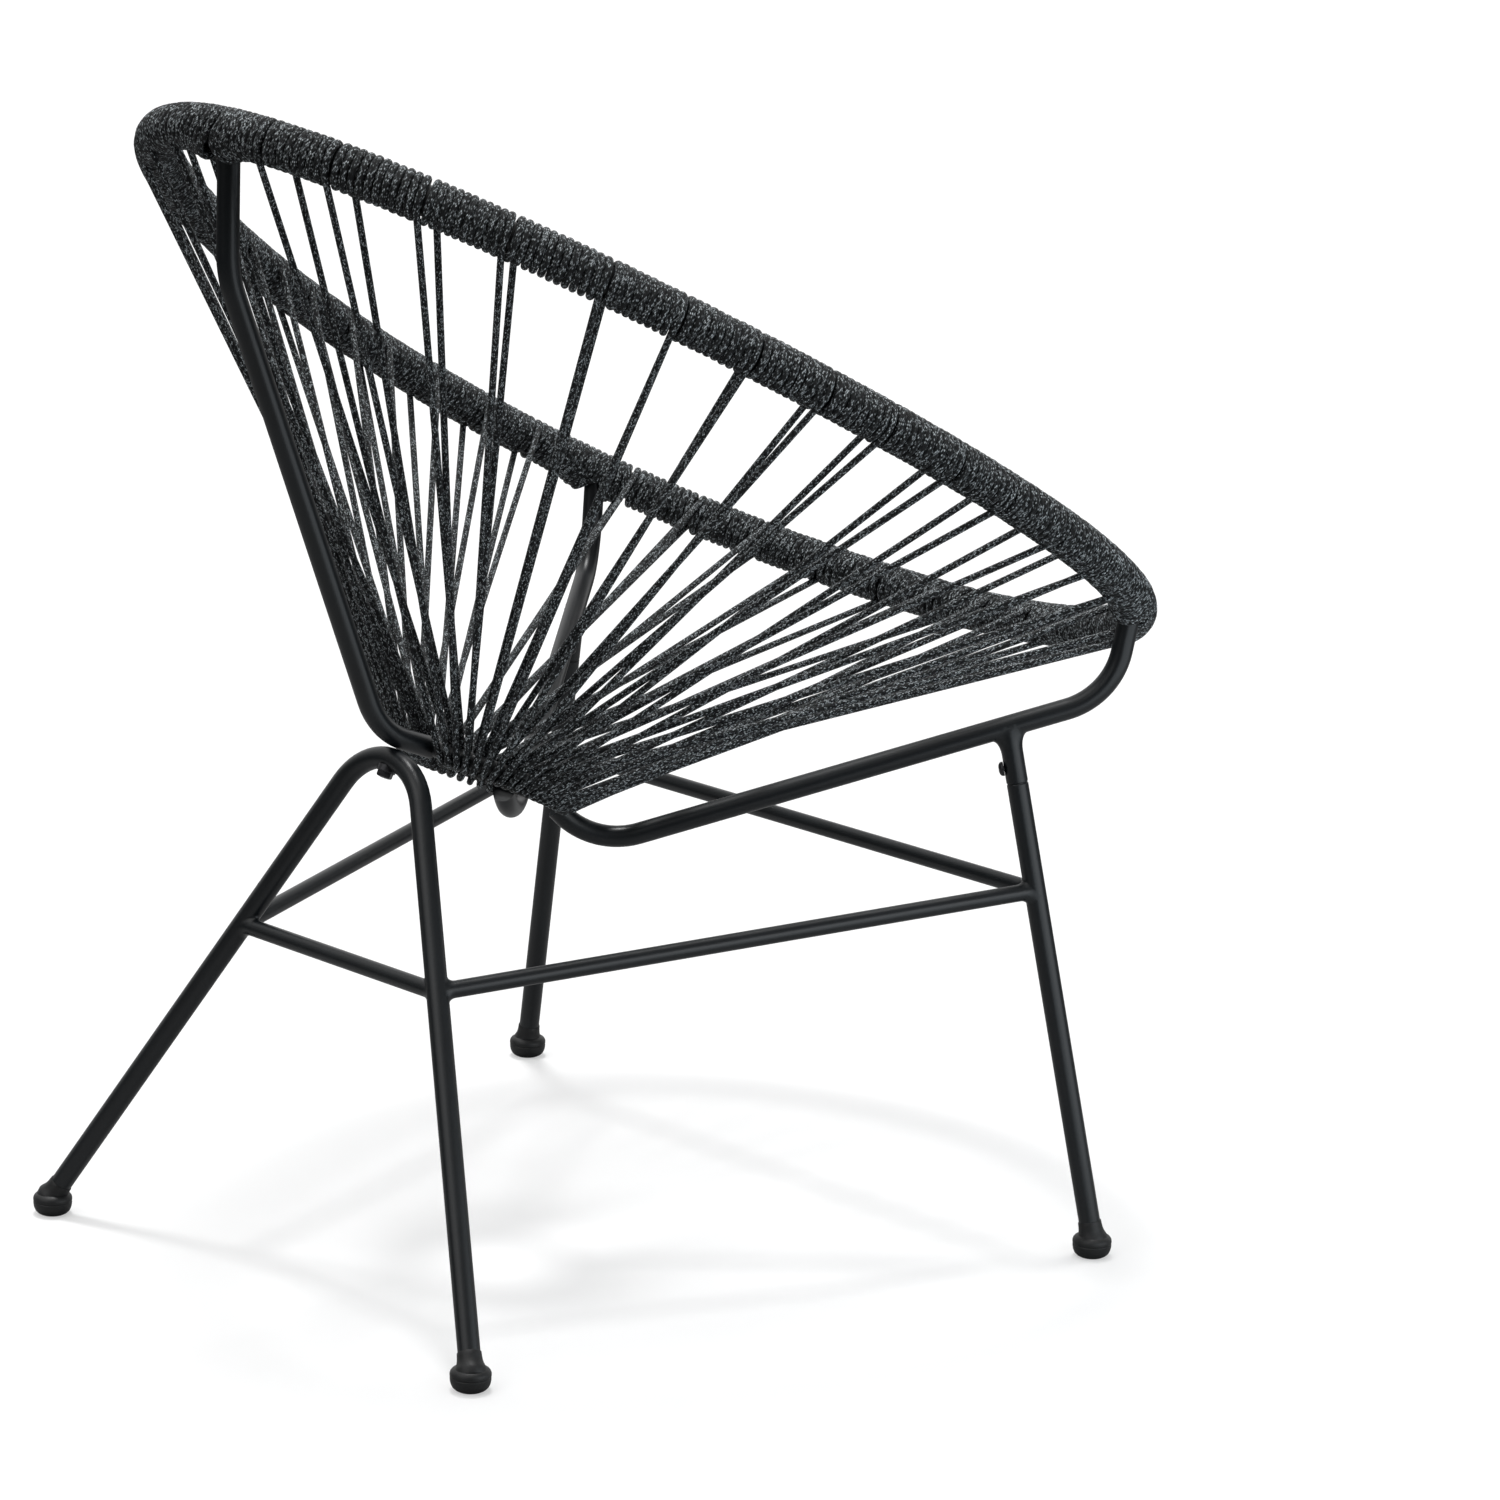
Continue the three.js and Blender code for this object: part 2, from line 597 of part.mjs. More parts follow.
function addStretchers(group) {
  const backEnds = [1, -1].map((hand) => legPoint("back", hand, BACK_STRETCHER_HEIGHT));
  const frontEnds = [1, -1].map((hand) => legPoint("front", hand, FRONT_STRETCHER_HEIGHT));
  const sideCutters = [0, 1].map((i) => stretcherBar(backEnds[i], frontEnds[i], SEAT_GAP));
  ["left", "right"].forEach((word, i) => {
    const hand = i === 0 ? 1 : -1;
    const cuts = [legCutter("back", hand), legCutter("front", hand)];
    const bar = stretcherBar(backEnds[i], frontEnds[i]);
    addPiece(group, "stretcher_" + word, shaped(bar, { cut: cuts }), frameMaterial);
  });
  [["back", backEnds], ["front", frontEnds]].forEach(([place, ends]) => {
    const cuts = [legCutter(place, 1), legCutter(place, -1), ...sideCutters];
    const bar = stretcherBar(ends[0], ends[1]);
    addPiece(group, "stretcher_" + place, shaped(bar, { cut: cuts }), frameMaterial);
  });
}

// Foot caps
function addFootCap(group, place, hand, word) {
  const entry = legPoint(place, hand, CAP_ENTRY_HEIGHT);
  const { top } = legAxis(place, hand);
  const ground = new THREE.Vector3(entry.x, entry.y, 0);
  const puck = [
    [0, 0],
    [CAP_BASE_RADIUS, 0],
    [CAP_RADIUS, CAP_CHAMFER_HEIGHT],
    [CAP_RADIUS, CAP_SIDE_HEIGHT],
    [CAP_SHOULDER_RADIUS, CAP_SHOULDER_HEIGHT],
    [0, CAP_SHOULDER_HEIGHT],
  ];
  const legEnd = legPoint(place, hand, LEG_END_HEIGHT);
  const collar = turned(
    [[0, 0], [CAP_SHOULDER_RADIUS, 0], [COLLAR_RADIUS, COLLAR_LENGTH], [0, COLLAR_LENGTH]],
    legEnd,
    top,
    CAP_SIDES,
  );
  const boreStart = along(legEnd, towards(legEnd, top), -SEAT_GAP);
  const bore = rod(boreStart, along(legEnd, towards(legEnd, top), CUT_OVERRUN), TUBE_RADIUS + SEAT_GAP);
  const body = turned(puck, ground, along(ground, UP, CAP_SHOULDER_HEIGHT), CAP_SIDES);
  const name = "foot_cap_" + place + "_" + word;
  addPiece(group, name, shaped(body, { join: [collar], cut: [bore] }), rubberMaterial);
}

// Cord
/** A ribbed sleeve of winding round the hoop between two shares of its length. */
function windingSleeve(from, to) {
  const ends = ribShares(from, to);
  const positions = [];
  const addRing = (share, radius) => {
    const { point, tangent } = hoopStation(share);
    const outward = new THREE.Vector3().crossVectors(hoopNormal, tangent);
    for (const corner of polygon(radius, HOOP_SIDES)) {
      const place = along(along(point, outward, corner.x), hoopNormal, corner.y);
      positions.push(place.x, place.y, place.z);
    }
  };
  ends.forEach((share, i) => {
    addRing(share, WRAP_RADIUS - RIB_DEPTH);
    if (i < RIBS_PER_RUN) addRing((share + ends[i + 1]) / 2, WRAP_RADIUS);
  });
  const outerRings = 2 * RIBS_PER_RUN + 1;
  ends.forEach((share) => addRing(share, WRAP_BORE_RADIUS));
  const faces = [];
  const bridge = (first, second) => {
    for (let i = 0; i < HOOP_SIDES; i += 1) {
      const next = (i + 1) % HOOP_SIDES;
      const [a, b] = [first * HOOP_SIDES + i, first * HOOP_SIDES + next];
      const [c, d] = [second * HOOP_SIDES + next, second * HOOP_SIDES + i];
      faces.push(a, b, c, a, c, d);
    }
  };
  for (let ring = 0; ring < outerRings - 1; ring += 1) bridge(ring, ring + 1);
  for (let ring = RIBS_PER_RUN; ring > 0; ring -= 1) bridge(outerRings + ring, outerRings + ring - 1);
  bridge(outerRings, 0);
  bridge(outerRings - 1, outerRings + RIBS_PER_RUN);
  return new THREE.BufferGeometry()
    .setAttribute("position", new THREE.Float32BufferAttribute(positions, 3))
    .setIndex(faces);
}

/**
 * One strung pair: from the hoop's outer side down to the ring's inner side, under the ring and from its
 * outer side up to the hoop's inner side. The two strands pass each other side by side on the way.
 */
function strungPair(share, ringAngle) {
  const rim = hoopStation(share);
  const ring = ringStation(ringAngle);
  const hand = share < 0.5 ? 1 : -1;
  const strand = towards(ring.point, rim.point);
  const upward = strand.clone().projectOnPlane(ring.tangent).normalize();
  const outward = new THREE.Vector3().crossVectors(ring.tangent, upward);
  if (outward.dot(ring.outward) < 0) outward.negate();
  const rimOutward = rim.tangent.clone().cross(strand).normalize();
  if (rimOutward.dot(outward) < 0) rimOutward.negate();
  const rimSide = (sign) => {
    const middle = along(rim.point, rimOutward, sign * STRAND_REACH);
    return along(middle, rim.tangent, -sign * hand * STRAND_SHIFT);
  };
  const loop = [];
  for (let i = 0; i <= LOOP_STEPS; i += 1) {
    const turn = (Math.PI * i) / LOOP_STEPS;
    const spoke = outward.clone().multiplyScalar(-Math.cos(turn)).addScaledVector(upward, -Math.sin(turn));
    const tangent = outward.clone().multiplyScalar(Math.sin(turn)).addScaledVector(upward, -Math.cos(turn));
    const middle = along(ring.point, ring.tangent, -hand * STRAND_SHIFT * Math.cos(turn));
    loop.push({ point: along(middle, spoke, LOOP_RADIUS), tangent });
  }
  const outerTop = rimSide(1);
  const innerTop = rimSide(-1);
  const down = towards(outerTop, loop[0].point);
  const up = towards(loop.at(-1).point, innerTop);
  const stations = [{ point: outerTop, tangent: down }, ...loop, { point: innerTop, tangent: up }];
  return barAlong(new StationPath(stations), CORD_RADIUS, CORD_SIDES);
}

/** The half-angle on the ring that a tube welded there keeps free of cord. */
function freeAngle(room) {
  return Math.asin((TUBE_RADIUS + CORD_RADIUS + room) / RING_RADIUS);
}

/** Equal steps between two values. */
function spread(from, to, count) {
  return Array.from({ length: count }, (_, i) => from + ((to - from) * i) / (count - 1));
}

/** The angles on the ring, from its back, of the loops of one side and of the front. */
function loopAngles() {
  const weldAngle = Math.PI - ARM_RING_ANGLE;
  const behindWeld = weldAngle - freeAngle(ARM_SIDE_ROOM);
  const step = FRONT_LOOP_PITCH / RING_RADIUS;
  const perSide = FRONT_PAIRS / 2;
  const near = spread(behindWeld - (perSide - 1) * step, behindWeld, perSide);
  const sideAngles = spread(freeAngle(SPINE_SIDE_ROOM), near[0] - step, SIDE_PAIR_SHARES.length);
  const far = near.map((angle) => 2 * Math.PI - angle).reverse();
  return { sideAngles, frontAngles: [...near, ...far] };
}

/** One run of cord: its winding on the hoop and the pairs strung from it, cleared round the tubes. */
function addCordRun(group, name, from, to, pairs, angles, tubes) {
  const strands = pairs.map((share, i) => strungPair(share, angles[i]));
  addPiece(group, name, shaped(windingSleeve(from, to), { join: strands, cut: tubes }), cordMaterial);
}

function addCord(group) {
  const { sideAngles, frontAngles } = loopAngles();
  const rim = hoopTube(SEAT_GAP);
  const spine = barAlong(spinePath, TUBE_RADIUS + SEAT_GAP, TUBE_SIDES);
  const arms = [1, -1].map((hand) => barAlong(armPath(hand), TUBE_RADIUS + SEAT_GAP, TUBE_SIDES));
  const runPick = (list, run) => list.slice(run * PAIRS_PER_RUN, (run + 1) * PAIRS_PER_RUN);
  const sideRuns = side.ends.length - 1;
  for (let run = 0; run < sideRuns; run += 1) {
    const cuts = (arm) => [rim, ...(run === 0 ? [spine] : []), ...(run === sideRuns - 1 ? [arm] : [])];
    const shares = runPick(side.pairs, run);
    const angles = runPick(sideAngles, run);
    const [from, to] = [side.ends[run], side.ends[run + 1]];
    addCordRun(group, "cord_left_" + (run + 1), from, to, shares, angles, cuts(arms[0]));
    const otherShares = shares.map((share) => 1 - share);
    const otherAngles = angles.map((angle) => 2 * Math.PI - angle);
    addCordRun(group, "cord_right_" + (run + 1), 1 - to, 1 - from, otherShares, otherAngles, cuts(arms[1]));
  }
  const frontRuns = front.ends.length - 1;
  for (let run = 0; run < frontRuns; run += 1) {
    const cuts = [rim, ...(run === 0 ? [arms[0]] : []), ...(run === frontRuns - 1 ? [arms[1]] : [])];
    const [from, to] = [front.ends[run], front.ends[run + 1]];
    const name = "cord_front_" + (run + 1);
    addCordRun(group, name, from, to, runPick(front.pairs, run), runPick(frontAngles, run), cuts);
  }
}

// The chair
const seatFrame = new THREE.Group();
addPiece(seatFrame, "rim_hoop", hoopTube(), frameMaterial);
addPiece(seatFrame, "seat_ring", ringRod(), frameMaterial);
addSpine(seatFrame);
const base = new THREE.Group();
addBackLeg(base);
addBolt(base);
addStretchers(base);
for (const [hand, word] of [[1, "left"], [-1, "right"]]) {
  addArm(seatFrame, hand, word);
  addSocket(seatFrame, hand, word);
  addSpigot(base, hand, word);
  addScrew(base, hand, word);
  addFrontLeg(base, hand, word);
  addFootCap(base, "back", hand, word);
  addFootCap(base, "front", hand, word);
}
const cordage = new THREE.Group();
addCord(cordage);
chair.add(seatFrame, base, cordage);

export default chair;
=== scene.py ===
"""A low lounge chair of bent steel tube with a seat strung in round braided cord.

Shapes are worked out in millimetres and each finished mesh is scaled to metres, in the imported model's
frame: the sitter faces -Y, +X is the sitter's left hand, +Z is up and the floor is at zero.
"""

from __future__ import annotations

import json
import logging
import math
import random
from dataclasses import dataclass, field
from enum import Enum
from typing import Sequence

import bmesh
import bpy
import numpy as np
from mathutils import Matrix, Vector

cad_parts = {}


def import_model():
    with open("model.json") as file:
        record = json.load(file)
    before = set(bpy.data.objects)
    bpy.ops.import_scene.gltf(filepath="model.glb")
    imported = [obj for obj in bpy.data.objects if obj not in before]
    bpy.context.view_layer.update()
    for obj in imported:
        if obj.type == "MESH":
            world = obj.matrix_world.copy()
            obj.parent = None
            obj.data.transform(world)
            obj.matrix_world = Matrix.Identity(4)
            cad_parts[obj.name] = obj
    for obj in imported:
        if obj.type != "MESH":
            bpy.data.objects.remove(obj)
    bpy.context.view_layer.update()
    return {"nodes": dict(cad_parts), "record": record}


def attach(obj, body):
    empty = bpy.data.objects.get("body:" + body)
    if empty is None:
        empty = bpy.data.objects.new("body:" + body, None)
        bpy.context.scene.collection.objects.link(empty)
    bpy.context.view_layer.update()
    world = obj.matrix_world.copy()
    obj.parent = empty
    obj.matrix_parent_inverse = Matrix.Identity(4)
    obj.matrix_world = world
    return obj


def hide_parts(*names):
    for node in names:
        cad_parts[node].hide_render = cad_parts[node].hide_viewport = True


LOG = logging.getLogger("chair")
BODY = "root"
METRES = 0.001
CORD_UV = "cord"
FULL_TURN = 2.0 * math.pi
TURNED_MERGE = 0.0005
GRAIN_NOISE = (2.0, 0.55)
CLOUD_NOISE = (4.0, 0.6)
SPECKLE_RANGE = (0.12, 0.45)
YARNS_PER_CARRIER = 3.0
YARN_HEIGHT = 0.15
FLOAT_ROUNDING = 0.4
# How sharply the flecks, partly painted glints, peak on the yarn crowns, and how rarely a fleck is bright.
CROWN_GLINT_SHARPNESS = 1.6
FLECK_AND_GLINT_RARITY = 2.0
WHITE = (1.0, 1.0, 1.0, 1.0)
UP = Vector((0.0, 0.0, 1.0))


class Hand(Enum):
    """The sitter's left and right sides, as the sign of X."""

    LEFT = 1
    RIGHT = -1

    @property
    def word(self) -> str:
        """The side's name as the nodes spell it."""
        return self.name.lower()


class Place(Enum):
    """The back and front pairs of feet."""

    BACK = "back"
    FRONT = "front"


class Slot(Enum):
    """The record's material slots."""

    FRAME = "frame"
    CORD = "cord"
    FEET = "feet"
    FASTENER = "fastener"


def towards(start: Vector, end: Vector) -> Vector:
    """The unit vector from one point to another."""
    return (end - start).normalized()


def flattened(vector: Vector, normal: Vector) -> Vector:
    """A vector without its part along a normal, made a unit long."""
    return (vector - normal * vector.dot(normal)).normalized()


def on_side(hand: Hand, place: Sequence[float]) -> Vector:
    """A point given for the left side, on either side."""
    return Vector((hand.value * place[0], place[1], place[2]))


def tilted_up(tilt: float) -> Vector:
    """The upward normal of a plane that is tilted forward."""
    return Vector((0.0, -math.sin(tilt), math.cos(tilt)))


def facing(origin: Vector, direction: Vector) -> Matrix:
    """The matrix that puts a shape made along +Z at a point, facing a direction."""
    return Matrix.Translation(origin) @ direction.to_track_quat("Z", "Y").to_matrix().to_4x4()


def placed(name: str, data: bpy.types.ID) -> bpy.types.Object:
    """Adds a new object with its data to the scene.

    Args:
        name: its name.
        data: its mesh, curve, light or camera.

    Returns:
        The new object.
    """
    item = bpy.data.objects.new(name, data)
    bpy.context.scene.collection.objects.link(item)
    return item


def evaluated_mesh(item: bpy.types.Object) -> bpy.types.Mesh:
    """A new mesh of an object as its modifiers or its curve make it."""
    bpy.context.view_layer.update()
    return bpy.data.meshes.new_from_object(item.evaluated_get(bpy.context.evaluated_depsgraph_get()))


def metre_mesh(shape: bmesh.types.BMesh, name: str) -> bpy.types.Mesh:
    """Turns a shape made in millimetres into a mesh in metres, and frees the shape.

    Args:
        shape: the shape in millimetres; it is freed here.
        name: the mesh's name.

    Returns:
        The mesh in metres.
    """
    bmesh.ops.recalc_face_normals(shape, faces=shape.faces)
    bmesh.ops.scale(shape, vec=Vector((METRES, METRES, METRES)), verts=shape.verts)
    mesh = bpy.data.meshes.new(name)
    shape.to_mesh(mesh)
    shape.free()
    return mesh


def new_material(name: str) -> tuple[bpy.types.Material, NodeTree]:
    """Starts a material, with a helper for its nodes.

    Args:
        name: its name.

    Returns:
        The material and its helper.
    """
    material = bpy.data.materials.new(name)
    material.use_nodes = True
    return material, NodeTree(material.node_tree)


class NodeTree:
    """A small helper that adds and joins shader nodes."""

    def __init__(self, tree: bpy.types.NodeTree) -> None:
        """Takes the tree to fill and empties it."""
        self.tree = tree
        tree.nodes.clear()

    def feed(self, target: bpy.types.NodeSocket, value: object) -> None:
        """Gives an input a value, or joins an output to it.

        Args:
            target: the input.
            value: a value, or another node's output.
        """
        if isinstance(value, bpy.types.NodeSocket):
            self.tree.links.new(value, target)
        else:
            target.default_value = value

    def add(self, kind: str, **settings: object) -> bpy.types.Node:
        """Adds a node.

        Args:
            kind: the node's Blender type.
            settings: properties by name, and values or outputs for its inputs as in_NAME or in_NUMBER.

        Returns:
            The new node.
        """
        node = self.tree.nodes.new(kind)
        for name, value in settings.items():
            if name.startswith("in_"):
                key = name[3:]
                self.feed(node.inputs[int(key) if key.isdigit() else key.replace("_", " ")], value)
            else:
                setattr(node, name, value)
        return node

    def maths(self, operation: str, *values: object) -> bpy.types.NodeSocket:
        """Adds a maths node fed by outputs or plain numbers.

        Args:
            operation: the maths node's operation.
            values: its inputs in order.

        Returns:
            The node's output.
        """
        node = self.add("ShaderNodeMath", operation=operation)
        for target, value in zip(node.inputs, values):
            self.feed(target, value)
        return node.outputs[0]

    def blend(self, mask: bpy.types.NodeSocket, first: object, second: object) -> bpy.types.NodeSocket:
        """Mixes two colours by a mask, and returns the mixed colour."""
        node = self.add("ShaderNodeMix", data_type="RGBA", in_0=mask, in_6=first, in_7=second)
        return node.outputs[2]

    def seen_or_thrown(self, seen: bpy.types.Node, thrown: bpy.types.Node, output: bpy.types.Node) -> None:
        """Shows the camera one shader and lights the chair with another.

        Args:
            seen: the shader that camera rays meet.
            thrown: the shader that all other rays meet.
            output: the output node.
        """
        rays = self.add("ShaderNodeLightPath").outputs["Is Camera Ray"]
        mix = self.add("ShaderNodeMixShader", in_0=rays, in_1=thrown.outputs[0], in_2=seen.outputs[0])
        self.feed(output.inputs["Surface"], mix.outputs[0])

    def bumped_shader(
        self, height: bpy.types.NodeSocket, strength: float, depth: float, **settings: object
    ) -> None:
        """Adds the Principled shader and the output, with bump from a height.

        Args:
            height: the height from 0 to 1.
            strength: the bump's strength.
            depth: the height's real depth in metres.
            settings: the shader's inputs as in_NAME.
        """
        bump = self.add("ShaderNodeBump", in_Strength=strength, in_Distance=depth, in_Height=height)
        shader = self.add("ShaderNodeBsdfPrincipled", in_Normal=bump.outputs["Normal"], **settings)
        self.add("ShaderNodeOutputMaterial", in_Surface=shader.outputs["BSDF"])


class GroupSocket(Enum):
    """Socket kinds of a shader node group."""

    NUMBER = "NodeSocketFloat"
    COLOUR = "NodeSocketColor"
    VECTOR = "NodeSocketVector"


def new_group(
    name: str,
    inputs: dict[str, tuple[GroupSocket, object]],
    outputs: dict[str, GroupSocket],
) -> tuple[bpy.types.NodeTree, NodeTree, bpy.types.Node, bpy.types.Node]:
    """Starts a shader node group with named sockets.

    Args:
        name: the group's name.
        inputs: socket names with their kind and default value.
        outputs: socket names with their kind.

    Returns:
        The group, a helper for its nodes, and its input and output nodes.
    """
    group = bpy.data.node_groups.new(name, "ShaderNodeTree")
    for label, (kind, value) in inputs.items():
        socket = group.interface.new_socket(label, in_out="INPUT", socket_type=kind.value)
        if value is not None:
            socket.default_value = value
    for label, kind in outputs.items():
        group.interface.new_socket(label, in_out="OUTPUT", socket_type=kind.value)
    sheet = NodeTree(group)
    return group, sheet, sheet.add("NodeGroupInput"), sheet.add("NodeGroupOutput")


def surface_grain_group() -> bpy.types.NodeTree:
    """Builds the fine grain that paint, rubber and blackened steel share.

    Returns:
        A group that puts out a varied colour, a varied roughness and a grain height.
    """
    number, colour = GroupSocket.NUMBER, GroupSocket.COLOUR
    group, sheet, given, out = new_group(
        "surface_grain",
        {
            "Position": (GroupSocket.VECTOR, None),
            "Colour": (colour, (0.02, 0.02, 0.02, 1.0)),
            "Light Colour": (colour, (0.04, 0.04, 0.04, 1.0)),
            "Roughness": (number, 0.4),
            "Roughness Spread": (number, 0.1),
            "Grain Size": (number, 0.001),
            "Cloud Size": (number, 0.06),
        },
        {"Colour": colour, "Roughness": number, "Height": number},
    )
    textures = []
    for size, (detail, roughness) in (("Grain Size", GRAIN_NOISE), ("Cloud Size", CLOUD_NOISE)):
        noise = sheet.add(
            "ShaderNodeTexNoise",
            in_Vector=given.outputs["Position"],
            in_Scale=sheet.maths("DIVIDE", 1.0, given.outputs[size]),
            in_Detail=detail,
            in_Roughness=roughness,
        )
        textures.append(noise.outputs["Fac"])
    grain, cloud = textures
    speckle = sheet.maths("MULTIPLY", grain, cloud)
    least, most = SPECKLE_RANGE
    shade = sheet.add("ShaderNodeMapRange", in_Value=speckle, in_1=least, in_2=most)
    mix = sheet.blend(shade.outputs["Result"], given.outputs["Colour"], given.outputs["Light Colour"])
    drift = sheet.maths("SUBTRACT", cloud, 0.5)
    spread = sheet.maths("MULTIPLY", drift, given.outputs["Roughness Spread"])
    sheet.feed(out.inputs["Colour"], mix)
    sheet.feed(out.inputs["Roughness"], sheet.maths("ADD", given.outputs["Roughness"], spread))
    sheet.feed(out.inputs["Height"], grain)
    return group


def braid_group() -> bpy.types.NodeTree:
    """Builds the braid of the cord from its own lengthwise and round-about coordinates.

    Returns:
        A group that puts out a mask of pale flecks, partly pale yarn and partly painted glints on the crown
        tops, a mask of the yarn crowns, which the cord's colour uses for painted shade in the gaps, and the
        braid's height.
    """
    number = GroupSocket.NUMBER
    group, sheet, given, out = new_group(
        "cord_braid",
        {
            "Along": (number, 0.0),
            "Around": (number, 0.0),
            "Lead": (number, 0.014),
            "Carriers": (number, 6.0),
            "Fleck Share": (number, 0.4),
        },
        {"Flecks": number, "Crowns": number, "Height": number},
    )
    turns = sheet.maths("DIVIDE", given.outputs["Along"], given.outputs["Lead"])
    around = given.outputs["Around"]
    carriers = given.outputs["Carriers"]
    first = sheet.maths("MULTIPLY", sheet.maths("ADD", turns, around), carriers)
    second = sheet.maths("MULTIPLY", sheet.maths("SUBTRACT", turns, around), carriers)

    def crown(value: bpy.types.NodeSocket) -> bpy.types.NodeSocket:
        """A round hump, one for each whole step of a value."""
        return sheet.maths("ABSOLUTE", sheet.maths("SINE", sheet.maths("MULTIPLY", value, math.pi)))

    def choice(mask: bpy.types.NodeSocket, *values: bpy.types.NodeSocket) -> bpy.types.NodeSocket:
        """The first or the second of two values, picked by a mask."""
        node = sheet.add("ShaderNodeMix", data_type="FLOAT", in_0=mask, in_2=values[0], in_3=values[1])
        return node.outputs[0]

    cell_sum = sheet.maths("ADD", sheet.maths("FLOOR", first), sheet.maths("FLOOR", second))
    on_top = sheet.maths("FLOORED_MODULO", cell_sum, 2.0)
    across = choice(on_top, crown(second), crown(first))
    length = choice(on_top, crown(first), crown(second))
    float_height = sheet.maths("MULTIPLY", across, sheet.maths("POWER", length, FLOAT_ROUNDING))
    yarns = [sheet.maths("MULTIPLY", value, YARNS_PER_CARRIER) for value in (second, first)]
    threads = crown(choice(on_top, *yarns))
    whole = [sheet.maths("FLOOR", value) for value in (first, second)]
    cell = sheet.add("ShaderNodeCombineXYZ", in_0=whole[0], in_1=whole[1])
    chance = sheet.add("ShaderNodeTexWhiteNoise", noise_dimensions="2D", in_Vector=cell.outputs[0])
    share = given.outputs["Fleck Share"]
    picked = sheet.maths("LESS_THAN", chance.outputs["Value"], share)
    paleness = sheet.maths("POWER", sheet.maths("DIVIDE", chance.outputs["Value"], share), FLECK_AND_GLINT_RARITY)
    # The flecks peak on the yarn crown tops: partly pale yarn, partly painted glints of light.
    crown_glint_ridge = sheet.maths("MULTIPLY", sheet.maths("POWER", float_height, CROWN_GLINT_SHARPNESS), picked)
    sheet.feed(out.inputs["Flecks"], sheet.maths("MULTIPLY", crown_glint_ridge, paleness))
    sheet.feed(out.inputs["Crowns"], float_height)
    sheet.feed(out.inputs["Height"], sheet.maths("MULTIPLY_ADD", threads, YARN_HEIGHT, float_height))
    return group


@dataclass(frozen=True)
class GrainedFinish:
    """Paint, rubber or blackened steel: one body colour under a fine grain."""

    name: str
    colour: tuple[float, float, float]
    light_colour: tuple[float, float, float]
    roughness: float
    roughness_spread: float
    grain_size: float
    grain_depth: float
    metallic: float = 0.0
    specular: float = 0.5

    def material(self, grain: bpy.types.NodeTree) -> bpy.types.Material:
        """Builds the material.

        Args:
            grain: the shared grain group.

        Returns:
            A new material.
        """
        material, sheet = new_material(self.name)
        place = sheet.add("ShaderNodeTexCoord")
        group = sheet.add(
            "ShaderNodeGroup",
            node_tree=grain,
            in_Position=place.outputs["Object"],
            in_Colour=(*self.colour, 1.0),
            in_Light_Colour=(*self.light_colour, 1.0),
            in_Roughness=self.roughness,
            in_Roughness_Spread=self.roughness_spread,
            in_Grain_Size=self.grain_size,
        )
        sheet.bumped_shader(
            group.outputs["Height"],
            1.0,
            self.grain_depth,
            in_Metallic=self.metallic,
            in_Specular_IOR_Level=self.specular,
            in_Base_Color=group.outputs["Colour"],
            in_Roughness=group.outputs["Roughness"],
        )
        return material


@dataclass(frozen=True)
class BraidedCordFinish:
    """Round braided cord: black yarn with painted shade in the gaps between yarns, and pale flecks on the
    yarn crowns that are partly pale yarn and partly painted glints.
    """

    name: str = "braided_cord"
    # Painted shade: the first colour is the yarn down in the gaps between yarns, darkened as shade; the
    # second is the yarn on its crowns.
    shaded_gap_colour: tuple[float, float, float] = (0.0008, 0.0009, 0.001)
    mid: tuple[float, float, float] = (0.0066, 0.0084, 0.0098)
    # Near-white fleck colour: partly pale yarn, partly painted glints on the crowns; the share is the part of
    # cells that carry one.
    fleck: tuple[float, float, float] = (0.84, 0.92, 0.96)
    lead: float = 0.028
    carriers: float = 13.0
    fleck_share: float = 0.6
    braid_depth: float = 0.0004
    bump_strength: float = 0.9
    roughness: float = 0.45
    specular: float = 0.22

    def material(self, braid: bpy.types.NodeTree) -> bpy.types.Material:
        """Builds the material.

        Args:
            braid: the braid group.

        Returns:
            A new material.
        """
        material, sheet = new_material(self.name)
        place = sheet.add("ShaderNodeUVMap", uv_map=CORD_UV)
        split = sheet.add("ShaderNodeSeparateXYZ", in_0=place.outputs["UV"])
        group = sheet.add(
            "ShaderNodeGroup",
            node_tree=braid,
            in_Along=split.outputs[0],
            in_Around=split.outputs[1],
            in_Lead=self.lead,
            in_Carriers=self.carriers,
            in_Fleck_Share=self.fleck_share,
        )
        # Painted shade: the colour darkens from the yarn crowns down into the gaps between yarns, where shade
        # falls.
        yarn_with_gap_shade = sheet.blend(group.outputs["Crowns"], (*self.shaded_gap_colour, 1.0), (*self.mid, 1.0))
        # Painted glints: the pale flecks on the crown tops are partly pale yarn and partly painted glints of
        # light.
        flecked_with_glints = sheet.blend(group.outputs["Flecks"], yarn_with_gap_shade, (*self.fleck, 1.0))
        sheet.bumped_shader(
            group.outputs["Height"],
            self.bump_strength,
            self.braid_depth,
            in_Roughness=self.roughness,
            in_Specular_IOR_Level=self.specular,
            in_Base_Color=flecked_with_glints,
        )
        return material


